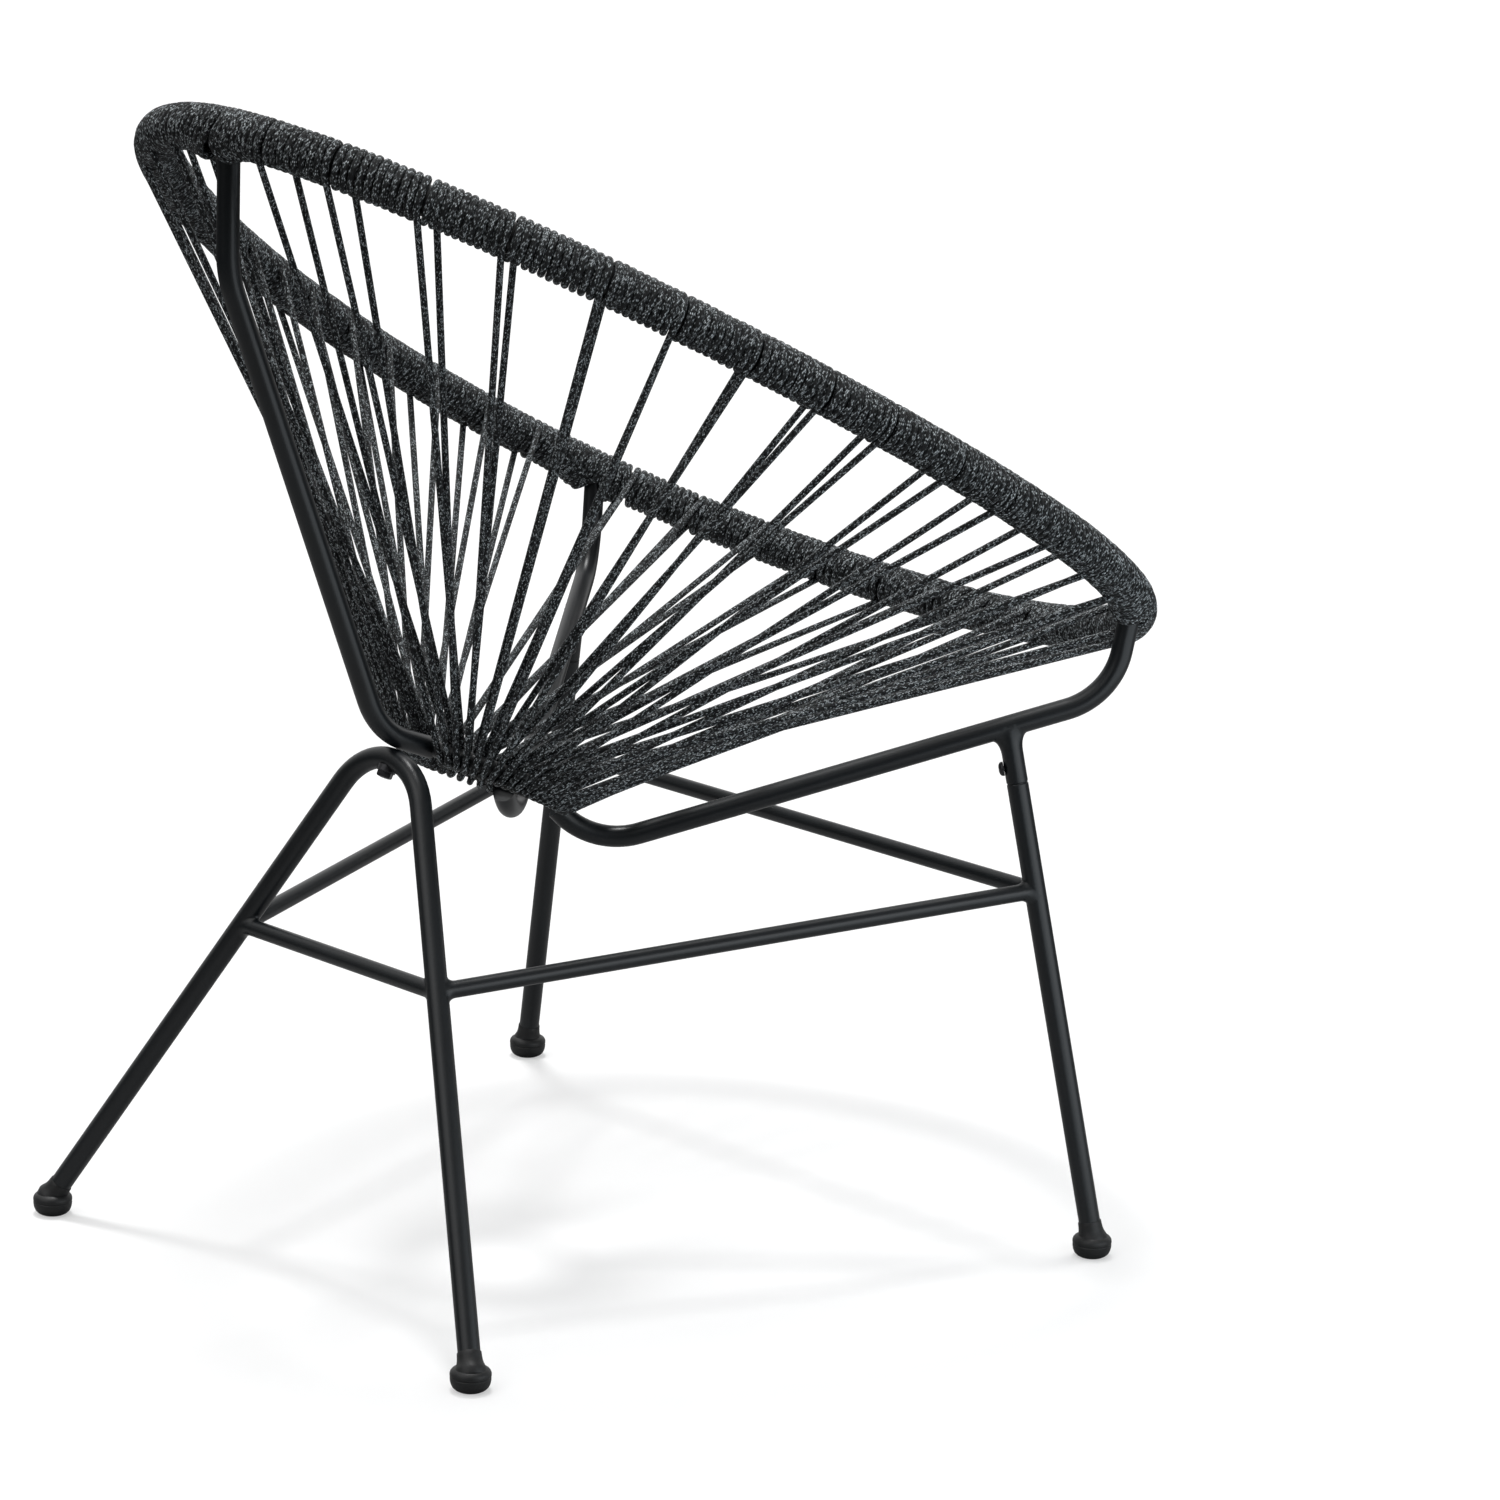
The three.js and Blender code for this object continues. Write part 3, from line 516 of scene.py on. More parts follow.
def build_finishes() -> dict[Slot, bpy.types.Material]:
    """Builds the node groups and the material of each record slot.

    Returns:
        The materials by slot.
    """
    grain = surface_grain_group()
    powder_coat = GrainedFinish(
        name="powder_coat",
        colour=(0.0025, 0.0038, 0.005),
        light_colour=(0.006, 0.0082, 0.0102),
        roughness=0.34,
        roughness_spread=0.1,
        grain_size=0.0012,
        grain_depth=0.00006,
        specular=0.42,
    )
    foot_rubber = GrainedFinish(
        name="foot_rubber",
        colour=(0.003, 0.0035, 0.004),
        light_colour=(0.008, 0.0085, 0.009),
        roughness=0.5,
        roughness_spread=0.15,
        grain_size=0.0008,
        grain_depth=0.00008,
        specular=0.4,
    )
    blackened_steel = GrainedFinish(
        name="blackened_steel",
        colour=(0.02, 0.02, 0.022),
        light_colour=(0.05, 0.05, 0.055),
        roughness=0.32,
        roughness_spread=0.15,
        grain_size=0.0006,
        grain_depth=0.00003,
        metallic=0.6,
    )
    return {
        Slot.FRAME: powder_coat.material(grain),
        Slot.CORD: BraidedCordFinish().material(braid_group()),
        Slot.FEET: foot_rubber.material(grain),
        Slot.FASTENER: blackened_steel.material(grain),
    }


@dataclass
class Workshop:
    """Turns meshes made in millimetres into pieces that ride on the chair's body."""

    finishes: dict[Slot, bpy.types.Material]
    smooth_angle: float = math.radians(32.0)
    merge_reach: float = 0.001

    def piece(
        self, shape: bmesh.types.BMesh, name: str, slot: Slot, nodes: Sequence[str]
    ) -> bpy.types.Object:
        """Finishes a bmesh as a piece.

        Args:
            shape: the shape in millimetres; it is freed here.
            name: the piece's name.
            slot: the record slot whose finish it takes.
            nodes: the CAD nodes that it stands for.

        Returns:
            The piece.
        """
        bmesh.ops.remove_doubles(shape, verts=shape.verts, dist=self.merge_reach)
        mesh = metre_mesh(shape, name)
        mesh.shade_smooth()
        mesh.set_sharp_from_angle(angle=self.smooth_angle)
        return self.settle(mesh, name, slot, nodes)

    def settle(self, mesh: bpy.types.Mesh, name: str, slot: Slot, nodes: Sequence[str]) -> bpy.types.Object:
        """Dresses a mesh that is already in metres and lets it ride in place of its nodes.

        Args:
            mesh: the finished mesh.
            name: the piece's name.
            slot: the record slot whose finish it takes.
            nodes: the CAD nodes that it stands for.

        Returns:
            The piece.
        """
        mesh.materials.clear()
        mesh.materials.append(self.finishes[slot])
        piece = placed(name, mesh)
        if nodes:
            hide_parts(*nodes)
        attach(piece, BODY)
        LOG.info("%s: %d faces, stands for %s", name, len(mesh.polygons), ", ".join(nodes) or "no node")
        return piece


def open_circle(
    shape: bmesh.types.BMesh, radius: float, sides: int, matrix: Matrix
) -> tuple[list[bmesh.types.BMVert], list[bmesh.types.BMEdge]]:
    """Draws an open circle.

    Args:
        shape: the shape that it is drawn in.
        radius: its radius.
        sides: its count of vertices.
        matrix: its place.

    Returns:
        Its vertices and its edges.
    """
    circle = bmesh.ops.create_circle(shape, cap_ends=False, radius=radius, segments=sides, matrix=matrix)
    verts = list(circle["verts"])
    return verts, list(dict.fromkeys(edge for vert in verts for edge in vert.link_edges))


def spun(
    shape: bmesh.types.BMesh,
    parts: Sequence[object],
    centre: Vector,
    axis: Vector,
    angle: float,
    steps: int,
) -> list[object]:
    """Spins parts of a shape round an axis, and merges them where they come full circle.

    Args:
        shape: the shape.
        parts: its vertices and edges to spin.
        centre: a point of the axis.
        axis: the axis's direction.
        angle: the angle to spin by.
        steps: steps of the spin.

    Returns:
        The vertices and edges of the last step.
    """
    return bmesh.ops.spin(
        shape,
        geom=parts,
        cent=centre,
        axis=axis,
        dvec=Vector(),
        angle=angle,
        space=Matrix.Identity(4),
        steps=steps,
        use_merge=angle == FULL_TURN,
        use_normal_flip=False,
        use_duplicate=False,
    )["geom_last"]


class Drawn:
    """A shape drawn out from one circle."""

    def __init__(self, radius: float, sides: int, matrix: Matrix) -> None:
        """Starts the shape with its circle."""
        self.shape = bmesh.new()
        self.verts, self.edges = open_circle(self.shape, radius, sides, matrix)

    def close(self) -> None:
        """Closes the present end with a flat face."""
        bmesh.ops.contextual_create(self.shape, geom=self.edges)

    def take_end(self, geometry: Sequence[object]) -> None:
        """Remembers the ring that an operator left at the end."""
        self.verts = [part for part in geometry if isinstance(part, bmesh.types.BMVert)]
        self.edges = [part for part in geometry if isinstance(part, bmesh.types.BMEdge)]

    def extrude(self) -> None:
        """Extrudes the end without moving it."""
        self.take_end(bmesh.ops.extrude_edge_only(self.shape, edges=self.edges)["geom"])


class DrawnTube(Drawn):
    """A round tube: straight by extruding its circle, bent by spinning it."""

    def __init__(self, start: Vector, direction: Vector, radius: float, sides: int = 40) -> None:
        """Starts the tube with a closed end."""
        super().__init__(radius, sides, facing(start, direction))
        self.close()

    def run_to(self, point: Vector) -> None:
        """Extrudes the end straight to a new middle.

        Args:
            point: the new middle.
        """
        middle = sum((vert.co for vert in self.verts), Vector()) / len(self.verts)
        self.extrude()
        bmesh.ops.translate(self.shape, verts=self.verts, vec=point - middle)

    def bend(self, centre: Vector, axis: Vector, angle: float, steps: int = 20) -> None:
        """Spins the end round a centre."""
        self.take_end(spun(self.shape, self.verts + self.edges, centre, axis, angle, steps))

    def turn_to(self, point: Vector, direction: Vector, new_direction: Vector) -> None:
        """Extrudes the end to a new middle and turns it to a new direction.

        Args:
            point: the new middle.
            direction: the end's present direction.
            new_direction: its new direction.
        """
        self.run_to(point)
        turn = direction.rotation_difference(new_direction).to_matrix()
        bmesh.ops.rotate(self.shape, cent=point, matrix=turn, verts=self.verts)


def bent_tube(corners: Sequence[Vector], bends: Sequence[float], radius: float) -> bmesh.types.BMesh:
    """Draws a tube along straight runs between corners, with round bends.

    Args:
        corners: the ends and corners of its centre line.
        bends: the bend radius at each inner corner.
        radius: the tube's radius.

    Returns:
        The closed tube.
    """
    tube = DrawnTube(corners[0], towards(corners[0], corners[1]), radius)
    for i, bend in enumerate(bends):
        before, corner, after = corners[i : i + 3]
        back, ahead = towards(corner, before), towards(corner, after)
        half = back.angle(ahead) / 2.0
        start = corner + back * (bend / math.tan(half))
        centre = corner + (back + ahead).normalized() * (bend / math.sin(half))
        tube.run_to(start)
        tube.bend(centre, ahead.cross(back).normalized(), math.pi - 2.0 * half)
    tube.run_to(corners[-1])
    tube.close()
    return tube.shape


def turned(
    profile: Sequence[tuple[float, float]], start: Vector, end: Vector, sides: int = 48
) -> bmesh.types.BMesh:
    """Turns a profile round the line from one point towards another.

    Args:
        profile: radius and height pairs.
        start: the point where height is zero.
        end: a point that the axis passes.
        sides: steps of the turn.

    Returns:
        The turned shape.
    """
    shape = bmesh.new()
    verts = [shape.verts.new((radius, 0.0, height)) for radius, height in profile]
    edges = [shape.edges.new(pair) for pair in zip(verts, verts[1:])]
    spun(shape, verts + edges, Vector(), UP, FULL_TURN, sides)
    bmesh.ops.remove_doubles(shape, verts=shape.verts, dist=TURNED_MERGE)
    bmesh.ops.transform(shape, matrix=facing(start, towards(start, end)), verts=shape.verts)
    return shape


class Loft(Drawn):
    """Rings of one vertex count, drawn out one after another from a closed start."""

    def __init__(self, ring: Sequence[Vector]) -> None:
        """Starts the loft with a closed ring.

        Args:
            ring: the ring's points.
        """
        super().__init__(1.0, len(ring), Matrix())
        self.settle(ring)
        self.close()

    def settle(self, ring: Sequence[Vector]) -> None:
        """Moves the end ring's vertices to given points."""
        for vert, point in zip(self.verts, ring):
            vert.co = point

    def draw(self, ring: Sequence[Vector]) -> None:
        """Extrudes the end ring and moves the copy to given points.

        Args:
            ring: the new points, in the order of the ring before.
        """
        order = {tuple(vert.co): i for i, vert in enumerate(self.verts)}
        self.extrude()
        self.verts.sort(key=lambda vert: order[tuple(vert.co)])
        self.settle(ring)


@dataclass(frozen=True)
class Carrier:
    """A straight stretch of tube that a bar is welded on."""

    point: Vector
    direction: Vector
    radius: float

    def reach(self, origin: Vector, direction: Vector) -> float:
        """How far a line runs from a point inside the tube until it leaves the tube's surface.

        Args:
            origin: a point inside the tube.
            direction: the line's direction.

        Returns:
            The distance.
        """
        offset = origin - self.point
        across = offset - self.direction * offset.dot(self.direction)
        ahead = direction - self.direction * direction.dot(self.direction)
        square = ahead.length_squared
        half = across.dot(ahead)
        inside = max(0.0, half * half - square * (across.length_squared - self.radius**2))
        return (math.sqrt(inside) - half) / square


@dataclass(frozen=True)
class Bead:
    """A weld round a bar's end: its growth on the carrier, its run up the bar and its root in the carrier."""

    along: float
    across: float
    run: float
    steps: int = 8
    rooted: float = 1.5


@dataclass(frozen=True)
class BarEnd:
    """One end of a straight bar: a point on its axis, with the tube and weld there if it is welded."""

    point: Vector
    carrier: Carrier | None = None
    bead: Bead | None = None
    groove: float = 0.5
    groove_levels: tuple[float, float, float] = (0.1, 0.3, 0.9)

    def rings(self, direction: Vector, radius: float, sides: int, lateral: Vector) -> list[list[Vector]]:
        """The rings of this end, from its closed face towards the bar's middle.

        Args:
            direction: the way into the bar.
            radius: the bar's radius.
            sides: vertices of a ring.
            lateral: the direction across both the bar and its carrier.

        Returns:
            The rings in order.
        """
        upright = direction.cross(lateral)
        turns = [FULL_TURN * i / sides for i in range(sides)]
        spokes = [lateral * math.cos(turn) + upright * math.sin(turn) for turn in turns]
        if self.carrier is None:
            levels = zip(self.groove_levels, (radius - self.groove, radius - self.groove, radius))
            return [
                [self.point + direction * level + spoke * size for spoke in spokes] for level, size in levels
            ]
        rings = []
        for step in range(-1, self.bead.steps + 1):
            angle = math.pi / 2.0 * max(step, 0) / self.bead.steps
            grown, run = 1.0 - math.sin(angle), (1.0 - math.cos(angle)) * self.bead.run
            depth = run if step >= 0 else -self.bead.rooted
            ring = []
            for turn, spoke in zip(turns, spokes):
                swell = self.bead.across + (self.bead.along - self.bead.across) * math.sin(turn) ** 2
                foot = self.point + spoke * (radius + swell * grown)
                ring.append(foot + direction * (self.carrier.reach(foot, direction) + depth))
            rings.append(ring)
        return rings


def straight_bar(start: BarEnd, end: BarEnd, radius: float, sides: int = 40) -> bmesh.types.BMesh:
    """Draws a straight bar between two ends, with its welds.

    Args:
        start: its first end.
        end: its other end.
        radius: its radius.
        sides: vertices of a ring.

    Returns:
        The closed bar.
    """
    direction = towards(start.point, end.point)
    carrier = start.carrier or end.carrier
    beside = carrier.direction if carrier else direction.orthogonal()
    lateral = direction.cross(beside).normalized()
    first = start.rings(direction, radius, sides, lateral)
    last = end.rings(-direction, radius, sides, lateral)
    last = [[ring[0], *reversed(ring[1:])] for ring in last]
    loft = Loft(first[0])
    for ring in first[1:] + last[::-1]:
        loft.draw(ring)
    loft.close()
    return loft.shape


def joined(first: bmesh.types.BMesh, *others: bmesh.types.BMesh) -> bmesh.types.BMesh:
    """Puts several shapes into the first one.

    Args:
        first: the shape that takes in the others.
        others: the shapes to take in; they are freed here.

    Returns:
        The first shape.
    """
    for other in others:
        holder = bpy.data.meshes.new("holder")
        other.to_mesh(holder)
        other.free()
        first.from_mesh(holder)
        bpy.data.meshes.remove(holder)
    return first


@dataclass
class Hoop:
    """The egg-shaped hoop of round tube that carries the winding."""

    height: float = 628.4
    tilt: float = math.radians(30.3)
    half_length: float = 432.5
    half_width: float = 317.0
    shoulder_shares: tuple[float, float] = (0.146, -0.064)
    nose_share: float = 0.2
    tube_radius: float = 11.0
    tube_sides: int = 24
    tube_steps: int = 180
    samples: int = 2880
    station_reach: float = 1e-4
    lengths: np.ndarray = field(init=False, repr=False)
    turns: np.ndarray = field(init=False, repr=False)

    def __post_init__(self) -> None:
        """Measures the hoop's length from its back."""
        self.turns = np.linspace(0.0, FULL_TURN, self.samples + 1)
        points = np.array([self.point_at(turn) for turn in self.turns])
        steps = np.linalg.norm(np.diff(points, axis=0), axis=1)
        self.lengths = np.concatenate([[0.0], np.cumsum(steps)])

    @property
    def length(self) -> float:
        """The length of the centre line."""
        return float(self.lengths[-1])

    @property
    def normal(self) -> Vector:
        """The upward normal of the hoop's plane."""
        return tilted_up(self.tilt)

    def point_at(self, turn: float) -> Vector:
        """The centre line's point at a turn from its back, round by +X.

        Args:
            turn: the turn, with the back at zero.

        Returns:
            The point.
        """
        second, third = self.shoulder_shares
        side = math.sin(turn) + second * math.sin(2 * turn) + third * math.sin(3 * turn)
        slope = self.half_length * (math.cos(turn) + self.nose_share * (math.cos(2 * turn) - 1.0))
        forward, upward = slope * math.cos(self.tilt), slope * math.sin(self.tilt)
        return Vector((self.half_width * side, forward, self.height + upward))

    def station(self, share: float) -> tuple[Vector, Vector]:
        """The point and direction at a share of the hoop's length from its back.

        Args:
            share: the share of the length.

        Returns:
            The point and the direction.
        """
        middle, before, after = (
            self.point_at(float(np.interp(((share + step) % 1.0) * self.length, self.lengths, self.turns)))
            for step in (0.0, -self.station_reach, self.station_reach)
        )
        return middle, towards(before, after)

    def outward(self, share: float) -> Vector:
        """The direction in the hoop's plane away from its middle, square to the tube."""
        return self.normal.cross(self.station(share)[1])

    def build(self, shop: Workshop) -> None:
        """Makes the hoop's tube, which shows between the turns of the winding.

        Args:
            shop: the workshop.
        """
        first, direction = self.station(0.0)
        tube = DrawnTube(first, direction, self.tube_radius, sides=self.tube_sides)
        before = direction
        for step in range(1, self.tube_steps + 1):
            point, ahead = self.station(step / self.tube_steps)
            tube.turn_to(point, before, ahead)
            before = ahead
        tube.close()
        shop.piece(tube.shape, "hoop_tube", Slot.FRAME, ["rim_hoop"])


@dataclass
class SeatRing:
    """The small ring of round rod that the cord loops hang on."""

    radius: float = 60.0
    rod_radius: float = 6.0
    tilt: float = math.radians(26.0)
    depth: float = 125.5
    height: float = 357.0
    rod_sides: int = 32
    steps: int = 96

    @property
    def middle(self) -> Vector:
        """The ring's middle."""
        return Vector((0.0, self.depth, self.height))

    @property
    def normal(self) -> Vector:
        """The upward normal of the ring's plane."""
        return tilted_up(self.tilt)

    def station(self, angle: float) -> tuple[Vector, Vector, Vector]:
        """The ring's point, direction and outward side at an angle from its back, round by +X.

        Args:
            angle: the angle, with the back at zero.

        Returns:
            The point, the direction along the rod and the outward side.
        """
        backward = Vector((0.0, math.cos(self.tilt), math.sin(self.tilt)))
        sideways = Vector((1.0, 0.0, 0.0))
        outward = sideways * math.sin(angle) + backward * math.cos(angle)
        tangent = sideways * math.cos(angle) - backward * math.sin(angle)
        return self.middle + outward * self.radius, tangent, outward

    def build(self, shop: Workshop) -> None:
        """Makes the ring by spinning a circle.

        Args:
            shop: the workshop.
        """
        point, tangent, _ = self.station(0.0)
        shape = bmesh.new()
        verts, edges = open_circle(shape, self.rod_radius, self.rod_sides, facing(point, tangent))
        spun(shape, verts + edges, self.middle, self.normal, FULL_TURN, self.steps)
        shop.piece(shape, "seat_ring_rod", Slot.FRAME, ["seat_ring"])


@dataclass
class Spine:
    """The tube from the back of the hoop down to the back of the ring."""

    hoop: Hoop
    ring: SeatRing
    tube_radius: float = 8.0
    top_inset: float = 8.0
    top_drop: float = 6.0
    shoulder: tuple[float, float] = (366.5, 747.0)
    shoulder_bend: float = 80.0
    heel: tuple[float, float] = (229.3, 403.1)
    heel_bend: float = 60.0
    saddle_angle: float = math.radians(5.0)

    def corners(self) -> list[Vector]:
        """The ends and corners of the centre line, from the hoop to the ring.

        Returns:
            The points in order.
        """
        top, _ = self.hoop.station(0.0)
        low, _, _ = self.ring.station(0.0)
        return [
            Vector((0.0, top.y - self.top_inset, top.z - self.top_drop)),
            Vector((0.0, *self.shoulder)),
            Vector((0.0, *self.heel)),
            low,
        ]

    def saddle(self) -> tuple[Vector, Vector]:
        """The point on the heel bend over the back leg, and the direction down from it.

        Returns:
            The point and the direction.
        """
        _, before, corner, after = self.corners()
        back, ahead = towards(corner, before), towards(corner, after)
        half = back.angle(ahead) / 2.0
        centre = corner + (back + ahead).normalized() * (self.heel_bend / math.sin(half))
        bend_end = corner + ahead * (self.heel_bend / math.tan(half))
        down = towards(centre, bend_end)
        down.rotate(Matrix.Rotation(self.saddle_angle, 3, "X"))
        return centre + down * self.heel_bend, down

    def build(self, shop: Workshop) -> None:
        """Makes the spine."""
        shape = bent_tube(self.corners(), [self.shoulder_bend, self.heel_bend], self.tube_radius)
        shop.piece(shape, "spine_tube", Slot.FRAME, ["back_spine"])


@dataclass
class FrontArm:
    """One bent tube from the ring's underside, out under the seat and up to the hoop."""

    hoop: Hoop
    ring: SeatRing
    hand: Hand
    tube_radius: float = 8.0
    ring_angle: float = math.radians(31.0)
    ring_drop: float = 7.4
    ring_inset: float = 2.0
    hoop_share: float = 0.357
    dip: tuple[float, float, float] = (46.3, 62.6, 299.7)
    knee: tuple[float, float, float] = (288.4, -228.0, 417.4)
    bend: float = 56.5
    socket_share: float = 0.8

    @property
    def dip_corner(self) -> Vector:
        """The corner under the seat, on this arm's side."""
        return on_side(self.hand, self.dip)

    @property
    def knee_corner(self) -> Vector:
        """The corner below the hoop, on this arm's side."""
        return on_side(self.hand, self.knee)

    def corners(self) -> list[Vector]:
        """The ends and corners of the centre line, from the ring to the hoop.

        Returns:
            The points in order.
        """
        point, _, outward = self.ring.station(math.pi - self.hand.value * self.ring_angle)
        weld = point - outward * self.ring_inset - self.ring.normal * self.ring_drop
        top, _ = self.hoop.station(self.hand.value * self.hoop_share)
        return [weld, self.dip_corner, self.knee_corner, top]

    def socket_point(self) -> Vector:
        """The point on the arm's axis that the front leg's axis meets."""
        return self.dip_corner.lerp(self.knee_corner, self.socket_share)

    def build(self, shop: Workshop) -> None:
        """Makes the arm."""
        shape = bent_tube(self.corners(), [self.bend, self.bend], self.tube_radius)
        shop.piece(shape, "arm_tube_" + self.hand.word, Slot.FRAME, ["front_arm_" + self.hand.word])


@dataclass
class LegLine:
    """The straight axis of one leg, from the floor to its upper end."""

    floor: Vector
    top: Vector

    def at_height(self, height: float) -> Vector:
        """The axis's point at a height above the floor."""
        return self.floor.lerp(self.top, height / self.top.z)

    @property
    def direction(self) -> Vector:
        """The direction up the leg."""
        return towards(self.floor, self.top)


@dataclass
class BackLeg:
    """One tube bent into an upside-down U and bolted under the spine's heel."""

    spine: Spine
    tube_radius: float = 8.0
    foot_side: float = 249.4
    foot_depth: float = 346.1
    bend: float = 50.0
    seat_gap: float = 0.3
    end_height: float = 11.0
    washer: tuple[tuple[float, float], ...] = ((0.0, -2.4), (7.0, -2.4), (7.0, 1.9), (6.6, 2.4), (0.0, 2.4))
    bolt: tuple[tuple[float, float], ...] = (
        (0.0, 2.0), (6.0, 2.0), (6.0, 5.4), (5.3, 6.4), (3.1, 6.8), (2.9, 4.6), (0.0, 4.4),
    )
    bolt_sides: int = 6

    def lines(self) -> dict[Hand, LegLine]:
        """The two straight leg axes, which meet at the corner over the bend.

        Returns:
            The axis of each side.
        """
        saddle, down = self.spine.saddle()
        top = saddle + down * (2.0 * self.tube_radius + self.seat_gap)
        middle = Vector((0.0, self.foot_depth, 0.0))
        bend_rise = (top - middle).length - self.bend
        reach = math.hypot(self.foot_side, bend_rise)
        slope = math.atan2(bend_rise, self.foot_side) + math.asin(self.bend / reach)
        corner = middle + towards(middle, top) * (self.foot_side * math.tan(slope))
        foot = (self.foot_side, self.foot_depth, 0.0)
        return {hand: LegLine(on_side(hand, foot), corner) for hand in Hand}

    def build(self, shop: Workshop) -> None:
        """Makes the leg tube, the bolt and its saddle washer.

        Args:
            shop: the workshop.
        """
        lines = self.lines()
        ends = [lines[hand].at_height(self.end_height) for hand in Hand]
        shape = bent_tube([ends[0], lines[Hand.LEFT].top, ends[1]], [self.bend], self.tube_radius)
        shop.piece(shape, "back_leg_tube", Slot.FRAME, ["back_leg"])
        saddle, down = self.spine.saddle()
        under = saddle + down * (3.0 * self.tube_radius + self.seat_gap)
        washer = turned(self.washer, under, under + down)
        shop.piece(washer, "saddle_washer", Slot.FASTENER, ["back_leg_washer"])
        bolt = turned(self.bolt, under, under + down, sides=self.bolt_sides)
        shop.piece(bolt, "saddle_bolt", Slot.FASTENER, ["back_leg_bolt"])


@dataclass
class FrontLeg:
    """One front leg with its welded socket stub, hidden spigot and pan-head screw."""

    arm: FrontArm
    tube_radius: float = 8.0
    foot_side: float = 322.6
    foot_reach: float = 198.1
    socket_length: float = 34.5
    socket_bead: Bead = Bead(along=5.5, across=-0.1, run=12.0, steps=12)
    screw_above_seam: float = 12.0
    shank_radius: float = 2.0
    shank_start: float = 2.0
    head_radius: float = 5.4
    head_gap: float = 0.3
    head_skirt: float = 0.9
    head_rise: float = 2.9
    crown_steps: int = 5
    crown_squareness: float = 0.8
    slot_width: float = 1.1
    slot_length: float = 5.2
    slot_depth: float = 1.2
    head_sides: int = 36
    end_height: float = 11.0

    @property
    def line(self) -> LegLine:
        """The leg's axis."""
        floor = on_side(self.arm.hand, (self.foot_side, -self.foot_reach, 0.0))
        return LegLine(floor, self.arm.socket_point())

    @property
    def seam(self) -> Vector:
        """The point on the axis where the leg meets the socket."""
        return self.line.top - self.line.direction * (self.tube_radius + self.socket_length)

    def build(self, shop: Workshop) -> None:
        """Makes the leg, the socket and the screw.

        Args:
            shop: the workshop.
        """
        word = self.arm.hand.word
        line, seam = self.line, self.seam
        leg = straight_bar(BarEnd(seam), BarEnd(line.at_height(self.end_height)), self.tube_radius)
        shop.piece(leg, "front_leg_tube_" + word, Slot.FRAME, ["front_leg_" + word, "leg_spigot_" + word])
        arm_way = towards(self.arm.dip_corner, self.arm.knee_corner)
        carrier = Carrier(line.top, arm_way, self.tube_radius)
        socket = straight_bar(BarEnd(seam), BarEnd(line.top, carrier, self.socket_bead), self.tube_radius)
        shop.piece(socket, "socket_stub_" + word, Slot.FRAME, ["leg_socket_" + word])
        self.build_screw(shop, word)

    def build_screw(self, shop: Workshop, word: str) -> None:
        """Makes the pan-head screw with its crossed slots.

        Args:
            shop: the workshop.
            word: the side's name.
        """
        line = self.line
        start = self.seam + line.direction * self.screw_above_seam
        inward = flattened(towards(line.top, self.arm.dip_corner), line.direction)
        rim, shank = self.head_radius, self.shank_radius
        base = self.tube_radius + self.head_gap
        skirt = base + self.head_skirt
        top = skirt + self.head_rise
        low = self.shank_start
        profile = [(0.0, low), (shank, low), (shank, base), (rim, base), (rim, skirt)]
        for i in range(1, self.crown_steps):
            angle = math.pi / 2.0 * i / self.crown_steps
            radius = rim * math.cos(angle) ** self.crown_squareness
            profile.append((radius, skirt + self.head_rise * math.sin(angle)))
        profile.append((0.0, top))
        head = turned(profile, start, start + inward, sides=self.head_sides)
        piece = shop.piece(head, "pan_head_screw_" + word, Slot.FASTENER, ["socket_screw_" + word])
        side = inward.cross(line.direction).normalized()
        slots = bmesh.new()
        width, length, height = self.slot_width, self.slot_length, 2.0 * self.slot_depth
        for across, along in ((width, length), (length, width)):
            cube = bmesh.ops.create_cube(slots, size=1.0)
            turn = Matrix((side * across, line.direction * along, inward * height)).transposed().to_4x4()
            place = Matrix.Translation(start + inward * top) @ turn
            bmesh.ops.transform(slots, matrix=place, verts=cube["verts"])
        cut_slots(piece, slots)


def cut_slots(piece: bpy.types.Object, slots: bmesh.types.BMesh) -> None:
    """Cuts slots made in millimetres out of a piece.

    Args:
        piece: the piece, whose mesh is replaced.
        slots: the cutting shape; it is freed here.
    """
    cutter_mesh = metre_mesh(slots, "slot_cutter")
    cutter = placed("slot_cutter", cutter_mesh)
    cut = piece.modifiers.new("slots", "BOOLEAN")
    cut.operation = "DIFFERENCE"
    cut.solver = "EXACT"
    cut.use_self = True
    cut.object = cutter
    result = evaluated_mesh(piece)
    piece.modifiers.clear()
    old = piece.data
    result.name = old.name + "_cut"
    piece.data = result
    bpy.data.meshes.remove(old)
    bpy.data.objects.remove(cutter)
    bpy.data.meshes.remove(cutter_mesh)


